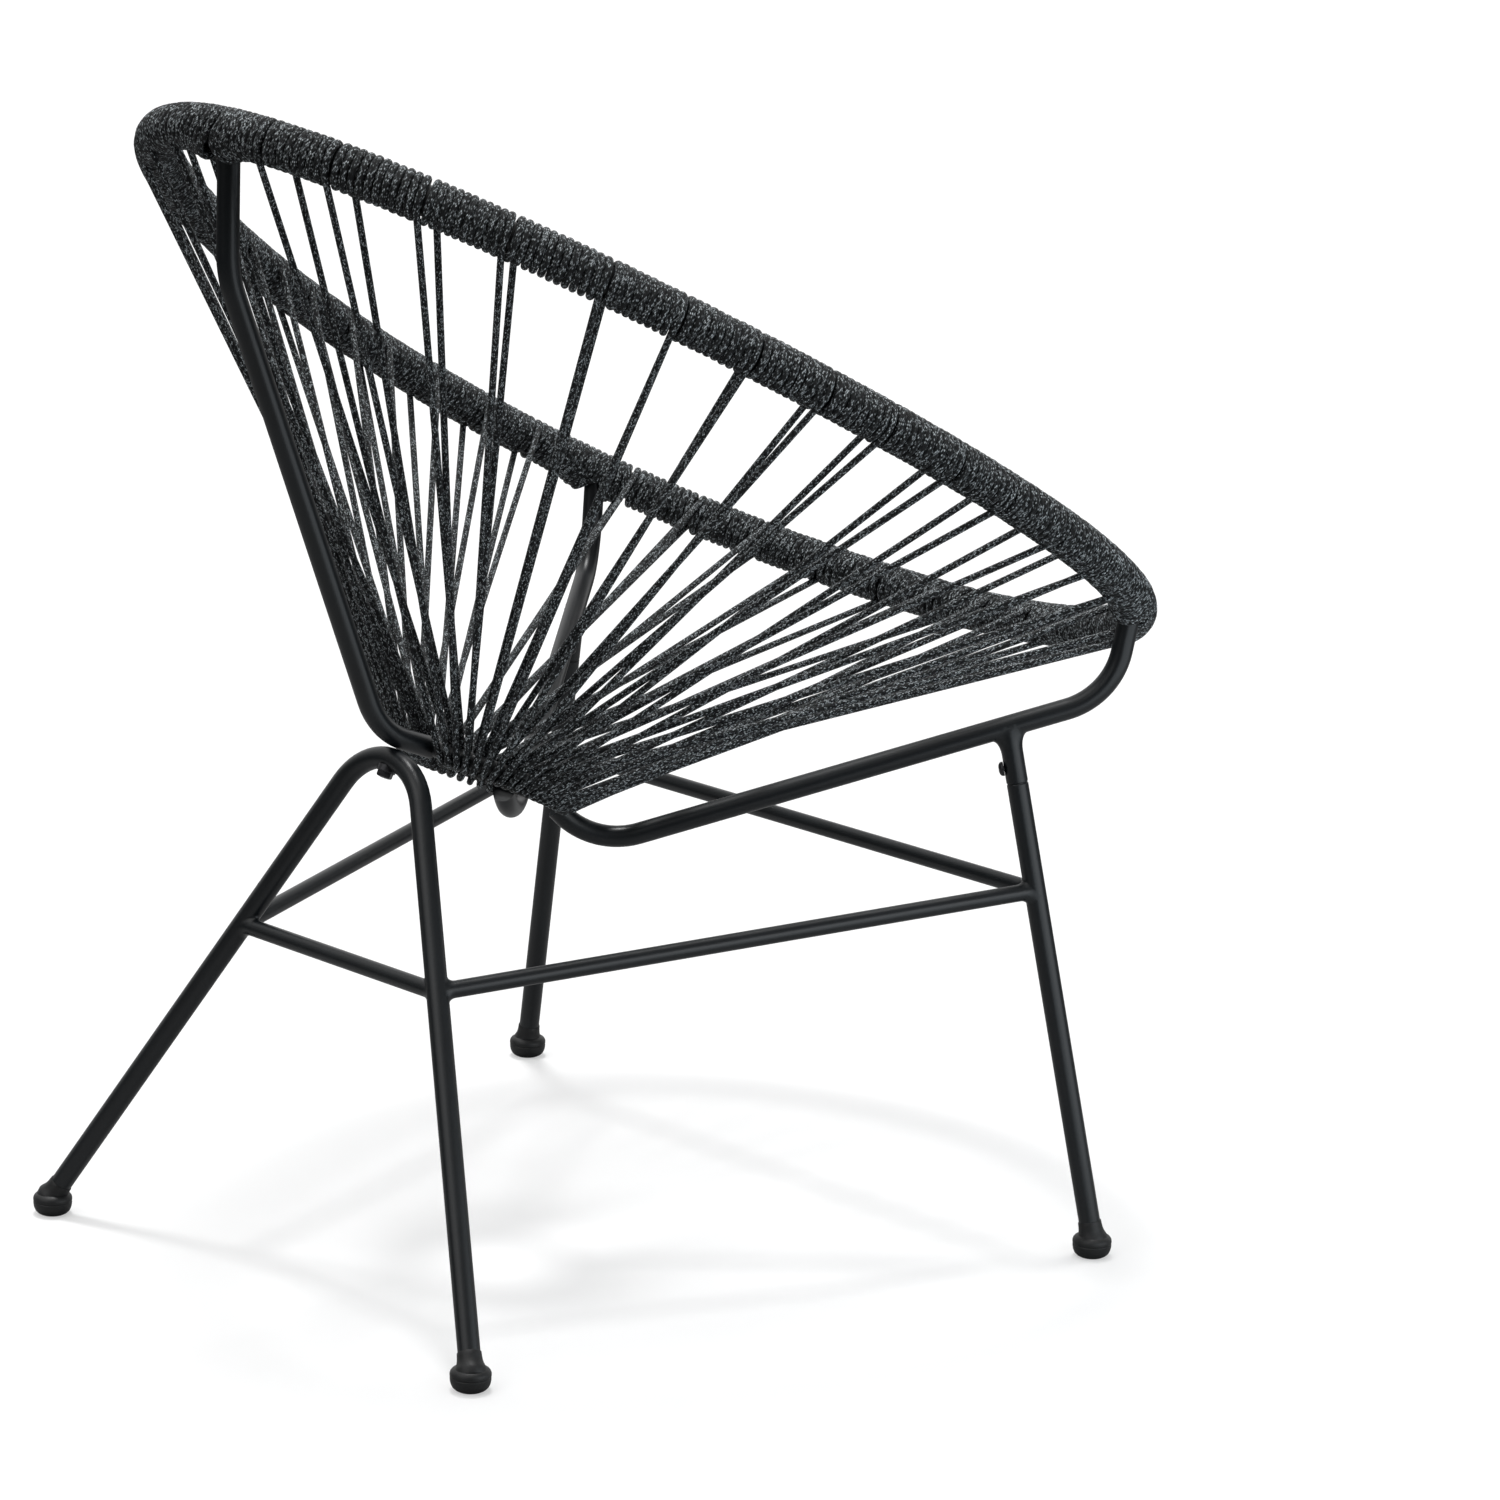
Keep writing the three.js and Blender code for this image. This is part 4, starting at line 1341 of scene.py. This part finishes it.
@dataclass
class Stretchers:
    """Four straight bars between the legs, each with a weld round its ends."""

    back_lines: dict[Hand, LegLine]
    front_lines: dict[Hand, LegLine]
    radius: float = 6.25
    leg_radius: float = 8.0
    back_height: float = 241.0
    front_height: float = 273.0
    bead: Bead = Bead(along=4.0, across=0.8, run=5.5)

    def end(self, line: LegLine, height: float) -> BarEnd:
        """A bar's end on a leg."""
        point = line.at_height(height)
        return BarEnd(point, Carrier(point, line.direction, self.leg_radius), self.bead)

    def build(self, shop: Workshop) -> None:
        """Makes the four bars.

        Args:
            shop: the workshop.
        """
        backs = {hand: self.end(line, self.back_height) for hand, line in self.back_lines.items()}
        fronts = {hand: self.end(line, self.front_height) for hand, line in self.front_lines.items()}
        for hand in Hand:
            bar = straight_bar(backs[hand], fronts[hand], self.radius)
            shop.piece(bar, "side_stretcher_" + hand.word, Slot.FRAME, ["stretcher_" + hand.word])
        for place, ends in ((Place.BACK, backs), (Place.FRONT, fronts)):
            bar = straight_bar(ends[Hand.LEFT], ends[Hand.RIGHT], self.radius)
            shop.piece(bar, place.value + "_cross_stretcher", Slot.FRAME, ["stretcher_" + place.value])


@dataclass
class FootCap:
    """A rubber cap: a round foot upright on the floor and a collar that hugs the leaning leg."""

    line: LegLine
    place: Place
    hand: Hand
    entry_height: float = 14.0
    foot: tuple[tuple[float, float], ...] = (
        (0.0, 0.0), (8.4, 0.0), (9.4, 0.3), (11.2, 1.3), (12.9, 3.0), (13.9, 5.2), (14.4, 7.6), (14.5, 9.5),
        (14.1, 10.1), (14.1, 10.4), (14.6, 11.0), (14.6, 12.4), (14.2, 13.8), (13.2, 15.1), (11.6, 16.1),
        (9.6, 16.7), (0.0, 16.9),
    )
    collar: tuple[tuple[float, float], ...] = (
        (0.0, -4.0), (11.2, -4.0), (11.6, 0.0), (11.0, 1.8), (10.2, 3.4), (9.5, 5.2), (9.05, 7.4),
        (8.8, 10.0), (8.65, 12.6), (8.3, 13.2), (0.0, 13.2),
    )

    def build(self, shop: Workshop) -> None:
        """Makes the cap from its two turned parts.

        Args:
            shop: the workshop.
        """
        entry = self.line.at_height(self.entry_height)
        ground = Vector((entry.x, entry.y, 0.0))
        foot = turned(self.foot, ground, ground + UP)
        collar = turned(self.collar, entry, entry + self.line.direction)
        name = self.place.value + "_" + self.hand.word
        shop.piece(joined(foot, collar), "foot_rubber_" + name, Slot.FEET, ["foot_cap_" + name])


@dataclass(frozen=True)
class Anchor:
    """Where the cord leaves the winding or comes back to it."""

    share: float
    angle: float


@dataclass
class Excursion:
    """One strung pair: where it leaves the hoop, its points, and where it comes back."""

    leaves: Anchor
    returns: Anchor
    points: list[Vector]

    @property
    def share(self) -> float:
        """The pair's place on the hoop."""
        return (self.leaves.share + self.returns.share) / 2.0

    def bare(self, angle: float) -> float:
        """How far into the bare side of the tube an angle lies: 0 at its edges and 1 in its middle.

        Args:
            angle: the angle round the tube.

        Returns:
            The depth, from 0 to 1.
        """
        arc = (self.leaves.angle - self.returns.angle) % FULL_TURN
        part = ((self.leaves.angle - angle) % FULL_TURN) / arc
        return math.sin(math.pi * part) ** 2 if part < 1.0 else 0.0


@dataclass(frozen=True)
class Post:
    """A tube that is welded on the hoop and parts the turns of the winding."""

    share: float
    angle: float
    spread: float = 1.35

    def lobe(self, angle: float) -> float:
        """How much an angle round the hoop's tube faces the post, from 0 to 1."""
        off = abs(math.remainder(angle - self.angle, FULL_TURN))
        return math.cos(min(self.spread * off, math.pi / 2.0))


def angle_on(hoop: Hoop, share: float, spoke: Vector) -> float:
    """The angle of a spoke round the hoop's tube, counted from the tube's outer side."""
    return math.atan2(spoke.dot(hoop.normal), spoke.dot(hoop.outward(share)))


def posts_on(hoop: Hoop, spine: Spine, arm: FrontArm) -> list[Post]:
    """The spine and the left arm as posts on the left half of the hoop.

    Args:
        hoop: the hoop.
        spine: the spine.
        arm: the left arm.

    Returns:
        The two posts.
    """
    posts = []
    for share, corners in ((0.0, spine.corners()), (arm.hoop_share, arm.corners()[::-1])):
        posts.append(Post(share, angle_on(hoop, share, towards(corners[0], corners[1]))))
    return posts


@dataclass
class Cording:
    """The long cord of each half: wound round the hoop, and strung in pairs to the ring and back."""

    hoop: Hoop
    ring: SeatRing
    posts: list[Post]
    arm_share: float = 0.357
    side_shares: tuple[float, ...] = (
        0.056, 0.116, 0.192, 0.262, 0.344, 0.408, 0.475, 0.542, 0.603, 0.674, 0.734, 0.804, 0.87, 0.928,
    )
    front_pairs: int = 12
    pairs_per_run: int = 2
    cord_radius: float = 2.5
    wound_swell: float = 1.15
    wrap_reach: float = 13.75
    loop_reach: float = 8.8
    rim_shift: float = 2.3
    ring_shift: float = 2.65
    pitch: float = 5.85
    spine_room: float = 2.8
    arm_room: float = 1.5
    front_loop_pitch: float = 8.0
    arm_ring_angle: float = math.radians(31.0)
    tube_radius: float = 8.0
    turn_steps: int = 32
    bevel_resolution: int = 4
    unevenness: float = 0.22
    lean: float = 3.9
    lean_fade: float = 11.0
    post_push: float = 10.0
    post_fade: float = 20.0
    post_lump: float = 2.4
    post_pile: float = 4.2
    seam_lean: float = 11.0
    seam_fade: float = 30.0
    seam_turn: float = 0.2
    seam_power: float = 1.5
    end_gap: float = 1.4
    bowl_height: float = 400.0
    aim_rounds: int = 6
    loop_steps: int = 14
    strand_bends: tuple[float, ...] = (0.0, 2.2, 4.4, 6.6, 9.0, 12.0)
    strand_straight: float = 24.0
    strand_steps: int = 7
    swell_rounds: int = 4
    kink_rounds: int = 3
    kink_cosine: float = 0.965
    kink_fade: float = 0.03
    kink_reach: float = 6.0
    least_area: float = 1e-9
    seed: int = 11

    def free_angle(self, room: float) -> float:
        """The half-angle on the ring that a welded tube keeps free of cord."""
        return math.asin((self.tube_radius + self.cord_radius + room) / self.ring.radius)

    def pair_places(self) -> list[tuple[float, float]]:
        """The share of the hoop and the angle on the ring of each pair of the left half.

        Returns:
            Shares of the hoop with angles on the ring, in order.
        """
        step = self.front_loop_pitch / self.ring.radius
        half = self.front_pairs // 2
        last = math.pi - self.arm_ring_angle - self.free_angle(self.arm_room)
        front_angles = [last - step * (half - 1 - i) for i in range(half)]
        first = self.free_angle(self.spine_room)
        side_angles = np.linspace(first, front_angles[0] - step, len(self.side_shares))
        front_width = (1.0 - 2.0 * self.arm_share) / self.front_pairs
        shares = [share * self.arm_share for share in self.side_shares]
        shares += [self.arm_share + front_width * (i + 0.5) for i in range(half)]
        return list(zip(shares, [*map(float, side_angles), *front_angles]))

    def run_ends(self) -> list[float]:
        """The shares of the hoop where the runs of the left half meet.

        Returns:
            The shares in order, from the back to the front.
        """
        places = [share for share, _ in self.pair_places()]
        sides = len(self.side_shares)
        ends = [0.0]
        for i in range(self.pairs_per_run, len(places), self.pairs_per_run):
            ends.append(self.arm_share if i == sides else (places[i - 1] + places[i]) / 2.0)
        return ends + [0.5]

    def around(self, share: float, angle: float, reach: float) -> Vector:
        """A point at an angle round the hoop's tube."""
        spoke = self.hoop.outward(share) * math.cos(angle) + self.hoop.normal * math.sin(angle)
        return self.hoop.station(share)[0] + spoke * reach

    def excursion(self, share: float, ring_angle: float) -> Excursion:
        """Finds the way of one pair, its strands drawn tight between the hoop and the ring.

        Args:
            share: the pair's place on the hoop.
            ring_angle: its place on the ring.

        Returns:
            The pair's points with its two places on the winding.
        """
        rim_step = self.rim_shift / self.hoop.length
        ring_point, ring_tangent, ring_outward = self.ring.station(ring_angle)
        strands: list[tuple[Vector, Vector, Vector, Vector, float]] = []
        for side in (1.0, -1.0):
            rim_share = share - side * rim_step
            rim, rim_tangent = self.hoop.station(rim_share)
            ring = ring_point - ring_tangent * (side * self.ring_shift)
            rim_spoke, ring_spoke = Vector(), Vector()
            for _ in range(self.aim_rounds):
                line = (ring + ring_spoke * self.loop_reach) - (rim + rim_spoke * self.wrap_reach)
                rim_spoke = rim_tangent.cross(line).normalized()
                if rim_spoke.dot(rim - self.ring.middle - self.hoop.normal * self.bowl_height) * side < 0.0:
                    rim_spoke.negate()
                ring_spoke = ring_tangent.cross(line).normalized()
                if ring_spoke.dot(ring_outward - self.ring.normal) * side > 0.0:
                    ring_spoke.negate()
            strands.append((rim, rim_spoke, ring, ring_spoke, rim_share))
        (rim_a, spoke_a, ring_a, inner, share_a), (rim_b, spoke_b, ring_b, outer, share_b) = strands
        upward = flattened(rim_a - ring_point, ring_tangent)
        frame_outward = flattened(ring_outward - upward * ring_outward.dot(upward), ring_tangent)
        start, end = (math.atan2(spoke.dot(upward), spoke.dot(frame_outward)) for spoke in (inner, outer))
        start = start if start > 0.0 else start + FULL_TURN
        end = end + FULL_TURN if end < math.pi else end
        loop = []
        for i in range(self.loop_steps + 1):
            part = i / self.loop_steps
            turn = start + (end - start) * part
            spoke = frame_outward * math.cos(turn) + upward * math.sin(turn)
            loop.append(ring_a.lerp(ring_b, part) + spoke * self.loop_reach)
        down = self.strand(rim_a + spoke_a * self.wrap_reach, loop[0])
        up = self.strand(loop[-1], rim_b + spoke_b * self.wrap_reach)
        return Excursion(
            leaves=Anchor(share_a, angle_on(self.hoop, share_a, spoke_a)),
            returns=Anchor(share_b, angle_on(self.hoop, share_b, spoke_b)),
            points=down[:-1] + loop + up[1:],
        )

    def strand(self, start: Vector, end: Vector) -> list[Vector]:
        """Points on a taut strand, close together at both ends where it bends.

        Args:
            start: its first point.
            end: its last point.

        Returns:
            The points in order.
        """
        length = (end - start).length
        steps = list(self.strand_bends)
        steps += list(np.linspace(self.strand_straight, length - self.strand_straight, self.strand_steps))
        steps += [length - part for part in reversed(self.strand_bends)]
        return [start.lerp(end, step / length) for step in steps]

    def shifted(
        self, share: float, angle: float, turn: float, pairs: Sequence[Excursion], hand: Hand
    ) -> tuple[float, float]:
        """Where a point of the winding gives way to strung pairs and to welded tubes.

        Args:
            share: its place on the hoop.
            angle: its angle round the tube.
            turn: the turns wound so far, counted for the piling beside a post.
            pairs: the strung pairs next to it.
            hand: the half that is wound, because both lean to the sitter's right at the back.

        Returns:
            Its new share of the hoop, and how much further out it lies.
        """
        seam = max(0.0, math.cos(angle - self.seam_turn)) ** self.seam_power
        seam *= math.exp(-share * self.hoop.length / self.seam_fade)
        slide, rise = -hand.value * self.seam_lean * seam, 0.0
        for pair in pairs:
            offset = (share - pair.share) * self.hoop.length
            fade = math.exp(-max(0.0, abs(offset) - self.rim_shift) / self.lean_fade)
            slide -= math.copysign(self.lean * fade * pair.bare(angle), offset)
        for post in self.posts:
            offset = (share - post.share) * self.hoop.length
            lobe = post.lobe(angle)
            slide += math.copysign(self.post_push * math.exp(-abs(offset) / self.post_fade) * lobe, offset)
            near = math.exp(-((offset / self.post_fade) ** 2)) * lobe
            rise += near * (self.post_lump + self.post_pile * (0.5 - 0.5 * math.cos(math.pi * turn)))
        return share + slide / self.hoop.length, rise

    def winding(
        self, start: Anchor, end: Anchor, pairs: Sequence[Excursion], hand: Hand, wobble: random.Random
    ) -> list[tuple[float, Vector]]:
        """Winds the cord on the hoop between two anchors.

        Args:
            start: where the winding begins.
            end: where it ends.
            pairs: the strung pairs at its ends.
            hand: the half that is wound.
            wobble: the source of its small unevenness.

        Returns:
            Shares of the hoop with the points of the cord.
        """
        span = (end.share - start.share) * self.hoop.length
        lag = (start.angle - end.angle) % FULL_TURN
        whole = max(0, math.ceil(span / self.pitch - lag / FULL_TURN))
        total = lag + FULL_TURN * whole
        turns = total / FULL_TURN
        steps = max(4, round(turns * self.turn_steps))
        bumps, slides = (
            [wobble.uniform(-1.0, 1.0) * self.unevenness for _ in range(int(turns) + 3)] for _ in range(2)
        )
        path = []
        for i in range(steps + 1):
            part = i / steps
            turn = turns * part
            whole_turn, rest = int(turn), turn - int(turn)
            ease = rest * rest * (3.0 - 2.0 * rest)
            fade = min(1.0, turn, turns - turn)
            bump, slide = (
                (drawn[whole_turn] * (1 - ease) + drawn[whole_turn + 1] * ease) * fade
                for drawn in (bumps, slides)
            )
            angle = start.angle - total * part
            share = start.share + (end.share - start.share) * part
            moved, rise = self.shifted(share, angle, turn, pairs, hand)
            point = self.around(moved + slide / self.hoop.length, angle, self.wrap_reach + bump + rise)
            path.append((share, point))
        return path

    def half_path(self, hand: Hand) -> list[tuple[list[Vector], list[float]]]:
        """The cord of one half as it lies on the left, cut into runs, with its thickness at each point.

        Args:
            hand: the half.

        Returns:
            Each run's points and thicknesses.
        """
        wobble = random.Random(self.seed)
        excursions = [self.excursion(share, angle) for share, angle in self.pair_places()]
        ends = self.run_ends()
        edge = self.end_gap / self.hoop.length
        last = Anchor(0.5 - edge, math.pi)
        place = Anchor(edge, math.pi)
        runs: list[list[tuple[Vector, float]]] = [[]]
        for i, excursion in enumerate([*excursions, None]):
            target = excursion.leaves if excursion else last
            beside = [pair for pair in (excursions[i - 1] if i else None, excursion) if pair]
            for share, point in self.winding(place, target, beside, hand, wobble):
                if len(runs) < len(ends) - 1 and share > ends[len(runs)] and i % self.pairs_per_run == 0:
                    runs.append([runs[-1][-1]])
                runs[-1].append((point, self.wound_swell))
            if excursion:
                runs[-1].extend((point, 1.0) for point in excursion.points[1:-1])
                place = excursion.returns
        return [self.softened(run) for run in runs]

    def softened(self, run: Sequence[tuple[Vector, float]]) -> tuple[list[Vector], list[float]]:
        """Rounds the kinks and steps where the cord turns from the winding into a strand or a loop.

        Args:
            run: the run's points, each with the cord's thickness there.

        Returns:
            The points and the thicknesses.
        """
        path = np.array([point for point, _ in run])
        sizes = np.array([size for _, size in run])
        for _ in range(self.swell_rounds):
            sizes[1:-1] = (sizes[:-2] + 2.0 * sizes[1:-1] + sizes[2:]) / 4.0
        for _ in range(self.kink_rounds):
            first = path[1:-1] - path[:-2]
            second = path[2:] - path[1:-1]
            lengths = np.linalg.norm(first, axis=1), np.linalg.norm(second, axis=1)
            turn = np.einsum("ij,ij->i", first, second) / np.maximum(lengths[0] * lengths[1], self.least_area)
            sharp = np.clip((self.kink_cosine - turn) / self.kink_fade, 0.0, 1.0)[:, None]
            short = (np.maximum(*lengths) < self.kink_reach)[:, None]
            middle = (path[:-2] + path[2:]) / 2.0
            path[1:-1] += (middle - path[1:-1]) / 2.0 * sharp * short
        return [Vector(point) for point in path], sizes.tolist()

    def tube_mesh(self, name: str, points: Sequence[Vector], sizes: Sequence[float]) -> bpy.types.Mesh:
        """Sweeps the cord's section along its points and lays its UV map in metres and turns.

        Args:
            name: the mesh's name.
            points: the centre line in millimetres.
            sizes: the cord's thickness at each point, as a share of its own.

        Returns:
            The mesh in metres.
        """
        curve = bpy.data.curves.new(name, "CURVE")
        curve.dimensions = "3D"
        curve.twist_mode = "MINIMUM"
        curve.bevel_depth = self.cord_radius * METRES
        curve.bevel_resolution = self.bevel_resolution
        curve.use_fill_caps = False
        spline = curve.splines.new("POLY")
        spline.points.add(len(points) - 1)
        flat = np.ones((len(points), 4))
        flat[:, :3] = np.array(points) * METRES
        spline.points.foreach_set("co", flat.ravel())
        spline.points.foreach_set("radius", np.array(sizes, dtype=np.float32))
        holder = placed(name + "_path", curve)
        mesh = evaluated_mesh(holder)
        bpy.data.objects.remove(holder)
        bpy.data.curves.remove(curve)
        mesh.name = name
        self.lay_uv(mesh, flat[:, :3])
        self.close_ends(mesh)
        return mesh

    def lay_uv(self, mesh: bpy.types.Mesh, path: np.ndarray) -> None:
        """Writes a UV map with metres along the cord and turns round it.

        Args:
            mesh: the swept cord in metres.
            path: its centre line in metres.
        """
        sides = len(mesh.vertices) // len(path)
        steps = np.linalg.norm(np.diff(path, axis=0), axis=1)
        lengths = np.concatenate([[0.0], np.cumsum(steps)])
        corners = np.empty(len(mesh.loops), dtype=np.int64)
        mesh.loops.foreach_get("vertex_index", corners)
        uv = np.stack([lengths[corners // sides], (corners % sides) / sides], axis=-1)
        around = uv[:, 1].reshape(-1, 4)
        wraps = (around.max(axis=1) - around.min(axis=1)) > 0.5
        around[wraps] = np.where(around[wraps] == 0.0, 1.0, around[wraps])
        while mesh.uv_layers:
            mesh.uv_layers.remove(mesh.uv_layers[0])
        layer = mesh.uv_layers.new(name=CORD_UV)
        layer.uv.foreach_set("vector", uv.reshape(-1).astype(np.float32))

    def close_ends(self, mesh: bpy.types.Mesh) -> None:
        """Closes both ends of a swept cord with flat faces.

        Args:
            mesh: the swept cord.
        """
        shape = bmesh.new()
        shape.from_mesh(mesh)
        layer = shape.loops.layers.uv[CORD_UV]
        rims = [edge for edge in shape.edges if edge.is_boundary]
        for face in bmesh.ops.holes_fill(shape, edges=rims, sides=0)["faces"]:
            for loop in face.loops:
                beside = next(other for other in loop.vert.link_loops if other.face != face)
                loop[layer].uv = beside[layer].uv
        bmesh.ops.recalc_face_normals(shape, faces=shape.faces)
        shape.to_mesh(mesh)
        shape.free()

    def build(self, shop: Workshop) -> None:
        """Makes every run of both halves.

        Args:
            shop: the workshop.
        """
        sides = len(self.side_shares) // self.pairs_per_run
        fronts = self.front_pairs // self.pairs_per_run
        for hand in Hand:
            for number, (points, sizes) in enumerate(self.half_path(hand), start=1):
                if number <= sides:
                    name = f"{hand.word}_{number}"
                elif hand is Hand.LEFT:
                    name = f"front_{number - sides}"
                else:
                    name = f"front_{fronts + 1 - (number - sides)}"
                path = [on_side(hand, point) for point in points]
                mesh = self.tube_mesh("cord_run_" + name, path, sizes)
                mesh.shade_smooth()
                shop.settle(mesh, mesh.name, Slot.CORD, ["cord_" + name])


@dataclass(frozen=True)
class SoftSun:
    """A far light: the direction in which it hangs, its angular size in degrees and its strength."""

    name: str
    direction: tuple[float, float, float]
    angle: float
    strength: float
    distance: float = 4.0

    def build(self) -> None:
        """Adds the light."""
        lamp = bpy.data.lights.new(self.name, "SUN")
        lamp.angle = math.radians(self.angle)
        lamp.energy = self.strength
        direction = Vector(self.direction).normalized()
        placed(self.name, lamp).matrix_world = facing(direction * self.distance, direction)


@dataclass(frozen=True)
class SoftPanel:
    """A square panel of cool light, which lights only what is near it and is hidden from the camera."""

    name: str
    place: tuple[float, float, float]
    aim: tuple[float, float, float]
    side: float
    strength: float
    colour: tuple[float, float, float] = (0.86, 0.94, 1.0)

    def build(self) -> None:
        """Adds the light."""
        lamp = bpy.data.lights.new(self.name, "AREA")
        lamp.size = self.side
        lamp.energy = self.strength
        lamp.color = self.colour
        holder = placed(self.name, lamp)
        holder.matrix_world = facing(Vector(self.place), towards(Vector(self.aim), Vector(self.place)))
        holder.visible_camera = False


@dataclass
class Studio:
    """The plain pale floor, the soft lights and the camera at the photograph's angle."""

    camera_place: tuple[float, float, float] = (-3.045197, 2.748412, 1.394995)
    right: tuple[float, float, float] = (-0.683106, -0.729903, 0.024642)
    up: tuple[float, float, float] = (0.195637, -0.150377, 0.969078)
    focal_pixels: float = 5683.99
    picture_pixels: float = 1500.0
    sensor: float = 36.0
    clip_end: float = 100.0
    floor_reach: float = 40.0
    floor_colour: float = 0.5
    floor_glow: float = 0.45
    bounce_reach: tuple[float, float] = (0.5, 2.4)
    bounce: tuple[float, float] = (0.36, 0.04)
    backdrop: tuple[float, float, float] = (0.74, -0.67, 0.0)
    backdrop_edge: float = 0.9
    backdrop_strength: tuple[float, float] = (0.06, 0.9)
    sky_strength: tuple[float, float] = (0.0, 0.25)
    lights: tuple[SoftSun | SoftPanel, ...] = (
        SoftSun("overhead_box", (0.1, 0.3, 1.0), 70.0, 0.9),
        SoftSun("overhead_lamp", (0.15, -0.1, 1.0), 9.0, 1.6),
        SoftSun("left_box", (0.05, 1.0, 0.6), 55.0, 0.55),
        SoftSun("right_box", (-0.98, -0.17, 0.22), 40.0, 0.4),
        SoftPanel("leg_panel", (-1.0, -0.25, 0.1), (-0.33, -0.2, 0.25), 1.3, 8.0),
    )

    def build(self) -> None:
        """Makes the floor, the lights, the world and the camera."""
        self.build_floor()
        for light in self.lights:
            light.build()
        self.build_world()
        self.build_camera()

    def build_floor(self) -> None:
        """Makes a wide pale floor, which throws light back on the chair only near its feet."""
        shape = bmesh.new()
        bmesh.ops.create_grid(shape, x_segments=1, y_segments=1, size=self.floor_reach)
        mesh = bpy.data.meshes.new("studio_floor")
        shape.to_mesh(mesh)
        shape.free()
        material, sheet = new_material("studio_floor")
        lit = sheet.add("ShaderNodeBsdfDiffuse", in_Color=(*[self.floor_colour] * 3, 1.0))
        glow = sheet.add("ShaderNodeEmission", in_Color=WHITE, in_Strength=self.floor_glow)
        seen = sheet.add("ShaderNodeAddShader", in_0=lit.outputs[0], in_1=glow.outputs[0])
        place = sheet.add("ShaderNodeTexCoord").outputs["Object"]
        reach = sheet.add("ShaderNodeVectorMath", operation="LENGTH", in_0=place).outputs["Value"]
        (near, far), (most, least) = self.bounce_reach, self.bounce
        falloff = sheet.add("ShaderNodeMapRange", in_Value=reach, in_1=near, in_2=far, in_3=most, in_4=least)
        bounced = sheet.add("ShaderNodeBsdfDiffuse", in_Color=falloff.outputs["Result"])
        sheet.seen_or_thrown(seen, bounced, sheet.add("ShaderNodeOutputMaterial"))
        mesh.materials.append(material)
        floor = placed("studio_floor", mesh)

    def build_world(self) -> None:
        """Makes a white backdrop that lights the chair from behind and from above."""
        world = bpy.data.worlds.new("studio")
        world.use_nodes = True
        sheet = NodeTree(world.node_tree)
        place = sheet.add("ShaderNodeTexCoord").outputs["Generated"]
        strengths = []
        for direction, (least, most) in ((self.backdrop, self.backdrop_strength), (UP, self.sky_strength)):
            faced = sheet.add("ShaderNodeVectorMath", operation="DOT_PRODUCT", in_0=place, in_1=direction)
            fade = sheet.add(
                "ShaderNodeMapRange",
                interpolation_type="SMOOTHSTEP",
                in_Value=faced.outputs["Value"],
                in_1=0.0,
                in_2=self.backdrop_edge,
                in_3=least,
                in_4=most,
            )
            strengths.append(fade.outputs["Result"])
        seen = sheet.add("ShaderNodeBackground", in_Color=WHITE, in_Strength=1.0)
        thrown = sheet.add("ShaderNodeBackground", in_Color=WHITE, in_Strength=sheet.maths("ADD", *strengths))
        sheet.seen_or_thrown(seen, thrown, sheet.add("ShaderNodeOutputWorld"))
        bpy.context.scene.world = world
        bpy.context.scene.view_settings.view_transform = "Standard"

    def build_camera(self) -> None:
        """Adds the camera."""
        data = bpy.data.cameras.new("photo_camera")
        data.sensor_width = self.sensor
        data.lens = self.focal_pixels / self.picture_pixels * self.sensor
        data.clip_end = self.clip_end
        camera = placed("photo_camera", data)
        right, up = Vector(self.right).normalized(), Vector(self.up).normalized()
        back = right.cross(up).normalized()
        turn = Matrix((right, back.cross(right), back)).transposed().to_4x4()
        camera.matrix_world = Matrix.Translation(Vector(self.camera_place)) @ turn
        bpy.context.scene.camera = camera


def dress_kept_nodes(
    nodes: dict[str, bpy.types.Object], record: dict, finishes: dict[Slot, bpy.types.Material]
) -> None:
    """Gives every CAD node the finish of its record slot.

    Args:
        nodes: the CAD nodes by name.
        record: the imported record.
        finishes: the material of each record slot.
    """
    slots = {entry["node"]: Slot(entry["material_slot"]) for entry in record["subparts"]}
    for name, node in nodes.items():
        for holder in node.material_slots:
            holder.material = finishes[slots[name]]


def main() -> None:
    """Loads the frame and builds the chair and its studio in order."""
    logging.basicConfig(level=logging.INFO, format="%(name)s: %(message)s")
    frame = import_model()
    Studio().build()
    finishes = build_finishes()
    shop = Workshop(finishes)
    dress_kept_nodes(frame["nodes"], frame["record"], finishes)
    hoop, ring = Hoop(), SeatRing()
    hoop.build(shop)
    ring.build(shop)
    spine = Spine(hoop, ring)
    spine.build(shop)
    back_leg = BackLeg(spine)
    back_leg.build(shop)
    front_lines = {}
    for hand in Hand:
        arm = FrontArm(hoop, ring, hand)
        arm.build(shop)
        leg = FrontLeg(arm)
        leg.build(shop)
        front_lines[hand] = leg.line
    back_lines = back_leg.lines()
    Stretchers(back_lines, front_lines).build(shop)
    for hand in Hand:
        FootCap(back_lines[hand], Place.BACK, hand).build(shop)
        FootCap(front_lines[hand], Place.FRONT, hand).build(shop)
    Cording(hoop, ring, posts_on(hoop, spine, FrontArm(hoop, ring, Hand.LEFT))).build(shop)


if __name__ == "__main__":
    main()
